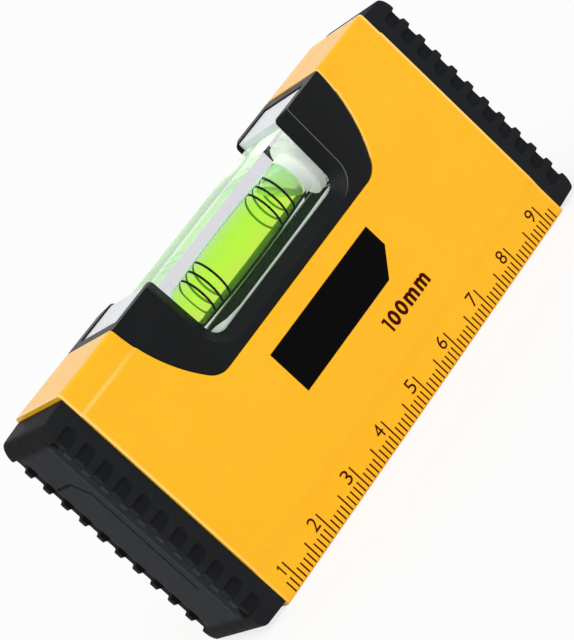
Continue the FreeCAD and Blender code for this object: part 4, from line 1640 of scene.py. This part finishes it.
    def bubble(self) -> Patch:
        """The bubble: round against the stopper, with a slanted face towards the liquid.

        The face is x = c - s (z - a), and near the wall it curls away as a wetted rim does, by
        m t^6 + n (1 - sqrt(1 - t^2)), where t is the share of the radius.

        Returns:
            The closed bubble.
        """
        angles = whole_turn(self.air_points)
        loops = turned_loops(np.array(self.back), self.axis, angles)
        rim, bowl = self.curl
        for share in self.rings_on_face:
            radius = self.air_radius * share
            rise = radius * np.sin(angles)
            curl = rim * share ** 6 + bowl * (1 - math.sqrt(1 - share ** 2))
            x = np.minimum(self.surface_run - self.surface_slope * rise + curl, self.surface_end)
            loops.append(points_of(x, radius * np.cos(angles), self.axis + rise))
        return loft_patch(loops)

    def index_line(self, number: int) -> Patch:
        """A ring line: a thin band just under the bore's wall, where its solid stands.

        Args:
            number: which of the rings.

        Returns:
            The closed band.
        """
        low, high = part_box(f"index_ring_{number}")
        centre = float(low[0] / MM + high[0] / MM) / 2
        outer = float(self.barrel_radius(np.array(centre))) - self.ring_sink
        half = self.ring_width / 2
        corners = [(-half, 0.0), (half, 0.0), (half, self.ring_depth), (-half, self.ring_depth)]
        profile = np.array([[centre + along, outer - sunk] for along, sunk in corners])
        loops = turned_loops(profile, self.axis, whole_turn(self.count))
        return grid_patch(np.stack(loops), wrap_rows=True, wrap_columns=True)

    def build(self, finishes: Finishes) -> None:
        """Make the block, the stopper, the liquid, the ring lines and the bubble.

        Args:
            finishes: the materials.
        """
        Piece("vial_block_clear", "clear_acrylic", "vial_block", bevel=0.25, bevel_angle=70.0,
              smooth_angle=30.0).build(
                  [self.block()], finishes.acrylic, finishes.wetted, finishes.seat, finishes.sawn,
                  finishes.hazed, finishes.window, finishes.fillet)
        Piece("vial_stopper", "clear_acrylic", "vial_plug", smooth_angle=30.0).build(
            [self.stopper()], finishes.stopper)
        for number in range(1, self.rings + 1):
            Piece(f"index_line_{number}", "ring_ink", f"index_ring_{number}").build(
                [self.index_line(number)], finishes.ring)
        Piece("green_liquid", "green_liquid", "vial_liquid", smooth_angle=50.0).build(
            [self.liquid()], finishes.liquid)
        Piece("bubble", "air", "air_bubble", Body.BUBBLE, smooth_angle=60.0).build(
            [self.bubble()], finishes.air)


@dataclass
class FacePrint:
    """Pad printing on the front face: the ruler with its numbers, the label panel and the size."""

    low_face: float = 9.15
    raised_face: float = 9.4
    corner: float = 0.6
    film: float = 0.015
    first: int = 8
    last: int = 92
    zero: float = -49.8
    foot: float = 0.34
    short: float = 2.5
    half: float = 3.8
    long: float = 5.0
    width: float = 0.29
    tick_rows: int = 13
    tick_crowd: float = 1.6
    digit_height: float = 2.45
    digit_foot: float = 3.09
    digit_width: float = 1.55
    digit_left: float = 2.35
    size_weight: float = 0.037
    one: tuple[Pair, ...] = (
        (-40.73, 3.2), (-40.73, 5.26), (-40.94, 5.26), (-41.28, 4.98), (-41.28, 4.68),
        (-40.99, 4.88), (-40.99, 3.2))
    panel: tuple[Pair, ...] = (
        (-14.73, 17.78), (10.34, 17.78), (14.67, 21.93), (14.67, 26.3), (-14.73, 26.3))
    size_one: tuple[Pair, ...] = (
        (4.36, 11.98), (4.36, 14.75), (3.84, 14.75), (3.44, 14.66), (3.44, 14.24), (3.86, 14.3),
        (3.86, 11.98))
    size_rest: tuple[tuple[str, float, float, float, float], ...] = (
        ("0", 4.83, 11.95, 2.8, 1.93), ("0", 7.17, 11.95, 2.8, 1.93), ("m", 9.6, 12.0, 2.2, 2.85),
        ("m", 13.0, 12.0, 2.2, 2.85))

    def front(self, height: Array) -> Array:
        """How far the face stands out at each height near the base: an arc, then the flat."""
        drop = np.clip(self.corner - height, 0.0, self.corner)
        return self.low_face - self.corner + np.sqrt(self.corner ** 2 - drop ** 2)

    def ticks(self) -> Patch:
        """The ruler's ticks: each a thin bar that follows the face, four edges carried up it."""
        number = np.arange(self.first, self.last + 1)
        top = np.where(number % 5 == 0, self.half, self.short)
        top = np.where(number % 10 == 0, self.long, top)
        share = np.linspace(0.0, 1.0, self.tick_rows) ** self.tick_crowd
        z = self.foot + share[None, :] * (top[:, None] - self.foot)
        surface = self.front(z)
        edges = []
        for sideways, out in ((-1, -0.5), (-1, 1.0), (1, 1.0), (1, -0.5)):
            x = self.zero + number[:, None] + sideways * self.width / 2
            edges.append(points_of(x, -(surface + out * self.film), z))
        bars = np.stack(edges, 2)
        base = np.array(grid_faces(len(share), 4, wrap_columns=True) + [[0, 1, 2, 3]])
        last = 4 * (len(share) - 1)
        base = np.concatenate([base, [[last + 3, last + 2, last + 1, last]]])
        faces = base[None] + (np.arange(len(number)) * 4 * len(share))[:, None, None]
        return Patch(bars.reshape(-1, 3), faces.reshape(-1, 4).tolist())

    def letter(self, text: str, left: float, foot: float, height: float, span: float, face: float,
               weight: float) -> Patch:
        """A generic character as a film on the face.

        Args:
            text: the character.
            left: where its left edge lies.
            foot: the height of its foot.
            height: how tall it is.
            span: how wide it is.
            face: how far the face stands out.
            weight: how much the strokes are thickened, as a share of the size.

        Returns:
            The character's closed solid.
        """
        curve = bpy.data.curves.new("characters", "FONT")
        curve.body = text
        curve.extrude = 0.01
        curve.offset = weight
        curve.resolution_u = 4
        holder = linked("characters", curve)
        mesh = evaluated_mesh(holder)
        flat = np.zeros(len(mesh.vertices) * 3)
        mesh.vertices.foreach_get("co", flat)
        faces = [list(polygon.vertices) for polygon in mesh.polygons]
        bpy.data.objects.remove(holder)
        bpy.data.curves.remove(curve)
        bpy.data.meshes.remove(mesh)
        points = flat.reshape(-1, 3)
        low, high = points.min(axis=0), points.max(axis=0)
        scale = height / (high[1] - low[1])
        stretch = span / (high[0] - low[0])
        depth = np.where(points[:, 2] > 0, self.film, -self.film / 2)
        return Patch(points_of(left + (points[:, 0] - low[0]) * stretch, -(face + depth),
                               foot + (points[:, 1] - low[1]) * scale), faces)

    def outlined(self, corners: Sequence[Pair], face: float) -> Patch:
        """A thin prism from its outline's x and z: just behind the face, and proud of it.

        Args:
            corners: the outline's x and z.
            face: how far the face stands out.

        Returns:
            The closed prism.
        """
        count = len(corners)
        back = at_depth(np.array(corners), -face + self.film / 2)
        proud = back - np.array([0.0, 1.5 * self.film, 0.0])
        sides = grid_faces(2, count, wrap_columns=True)
        return Patch(np.concatenate([back, proud]),
                     sides + [list(range(count))[::-1], list(range(count, 2 * count))])

    def build(self, finishes: Finishes) -> None:
        """Make the ruler, its numbers, the panel and the size.

        Args:
            finishes: the materials.
        """
        digits = [self.outlined(self.one, self.low_face)] + [
            self.letter(str(number), self.zero + 10 * number - self.digit_left, self.digit_foot,
                        self.digit_height, self.digit_width, self.low_face, 0.0)
            for number in range(2, 10)
        ]
        size = [self.outlined(self.size_one, self.raised_face)]
        size += [self.letter(*shape, self.raised_face, self.size_weight)
                 for shape in self.size_rest]
        panel = [self.outlined(self.panel, self.raised_face)]
        for name, patches, ink in (
                ("ruler_ticks", [self.ticks()], finishes.ruler),
                ("ruler_numbers", digits, finishes.ruler), ("size_text", size, finishes.ruler),
                ("label_panel", panel, finishes.label)):
            Piece(name, "yellow_coated_aluminium").build(patches, ink)


@dataclass
class SmallParts:
    """The pieces whose solids are already right: the magnets and their holders."""

    ends: tuple[Side, ...] = (Side.LEFT, Side.RIGHT)

    def dress(self, nodes: dict[str, bpy.types.Object], finishes: Finishes) -> None:
        """Give each solid its finish.

        Args:
            nodes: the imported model's objects by name.
            finishes: the materials.
        """
        for end in self.ends:
            for kind, material in (("base_magnet", finishes.nickel),
                                   ("magnet_holder", finishes.holder)):
                materials = nodes[f"{kind}_{end.value}"].data.materials
                materials.clear()
                materials.append(material)
                LOG.info("%s %s keeps its solid", end.value, kind)


@dataclass
class Studio:
    """A pale floor, a soft even sky, large soft lamps and the camera of the photograph."""

    floor_half: float = 8000.0
    floor_colour: str = "F4F4F4"
    ambient: float = 0.67
    floor_share: float = 0.8
    camera_place: Triple = (-198.48, -363.353, 110.29)
    camera_right: Triple = (0.52959, -0.45273, -0.71733)
    camera_up: Triple = (0.71004, -0.22607, 0.66689)
    camera_forward: Triple = (0.46409, 0.86251, -0.20173)
    lens: float = 144.9

    def floor(self) -> None:
        """A wide level plane that the camera sees as white with the object's soft shadow on it."""
        corners = np.array([(-1, -1, 0), (1, -1, 0), (1, 1, 0), (-1, 1, 0)]) * self.floor_half
        mesh = new_mesh("floor", corners, [[0, 1, 2, 3]])
        graph = Graph.of_material("pale_paper_floor")
        paper = graph.add("BsdfDiffuse", {"Color": linear(self.floor_colour)})
        white = graph.add("Emission", {"Color": linear(WHITE), "Strength": 1.0})
        share = graph.add("Math", {0: self.seen(graph), 1: self.floor_share}, operation="MULTIPLY")
        both = graph.add("MixShader", {0: share, 1: paper, 2: white})
        mesh.materials.append(graph.finish(both))
        floor = linked("floor", mesh)

    def seen(self, graph: Graph) -> bpy.types.Node:
        """1 for rays from the camera and for rays that a gloss or glass sends on.

        Args:
            graph: the nodes that it joins.

        Returns:
            The node that gives it.
        """
        ray = graph.add("LightPath").outputs
        first = graph.add("Math", {0: ray["Is Camera Ray"], 1: ray["Is Glossy Ray"]},
                          operation="MAXIMUM")
        return graph.add("Math", {0: first, 1: ray["Is Transmission Ray"]}, operation="MAXIMUM")

    def sky(self) -> None:
        """An even sky that lights softly and looks white."""
        world = bpy.data.worlds.new("even_sky")
        bpy.context.scene.world = world
        graph = Graph(world)
        strength = graph.add("MapRange", {"Value": self.seen(graph), "To Min": self.ambient})
        light = graph.add("Background", {"Strength": strength, "Color": linear(WHITE)})
        graph.add("OutputWorld", {"Surface": light})

    def lamp(self, name: str, place: Triple, strength: float, spread: float) -> None:
        """A broad far lamp, even over the whole floor.

        Args:
            name: the lamp's name.
            place: the direction that it shines from.
            strength: its strength in watts per square metre.
            spread: how wide it looks, in degrees.
        """
        light = bpy.data.lights.new(name, "SUN")
        light.energy = strength
        light.angle = math.radians(spread)
        lamp = linked(name, light)
        lamp.location = place
        lamp.rotation_euler = Vector(place).to_track_quat("Z", "Y").to_euler()

    def camera(self) -> None:
        """The photograph's camera: a long lens above the left front, rolled so the level leans."""
        data = bpy.data.cameras.new("camera")
        data.lens = self.lens
        data.sensor_width = 36.0
        data.sensor_fit = "AUTO"
        data.clip_end = 100.0
        camera = linked("camera", data)
        axes = [Vector(self.camera_right), Vector(self.camera_up), -Vector(self.camera_forward)]
        matrix = Matrix([[axis[row] for axis in axes] for row in range(3)]).to_4x4()
        matrix.translation = Vector(self.camera_place) * MM
        camera.matrix_world = matrix
        bpy.context.scene.camera = camera

    def build(self) -> None:
        """Set the stage."""
        self.floor()
        self.sky()
        self.lamp("key", (-0.35, -0.8, 1.0), 1.15, 50.0)
        self.lamp("fill", (-1.0, -0.4, 0.6), 0.25, 60.0)
        self.camera()
        bpy.context.scene.view_settings.view_transform = "Standard"


def main() -> None:
    """Build every sub-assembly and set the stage."""
    logging.basicConfig(level=logging.INFO, format="%(message)s")
    finishes = Finishes()
    saddle = Saddle()
    window = Opening(top_half=18.35, floor_half=17.85, top=48.65, floor=34.2, corner=2.6)
    nest = Opening(top_half=19.05, floor_half=19.05, top=48.4, floor=34.15, corner=0.15)
    BodyTube(saddle).build(finishes)
    for side in (Side.LEFT, Side.RIGHT):
        EndCap().build(side, finishes)
    for side in (Side.FRONT, Side.REAR):
        WindowSurround(saddle, window).build(side, finishes)
    VialCarrier(saddle, nest).build(finishes)
    Vial().build(finishes)
    FacePrint().build(finishes)
    SmallParts().dress(frame["nodes"], finishes)
    Studio().build()


if __name__ == "__main__":
    main()
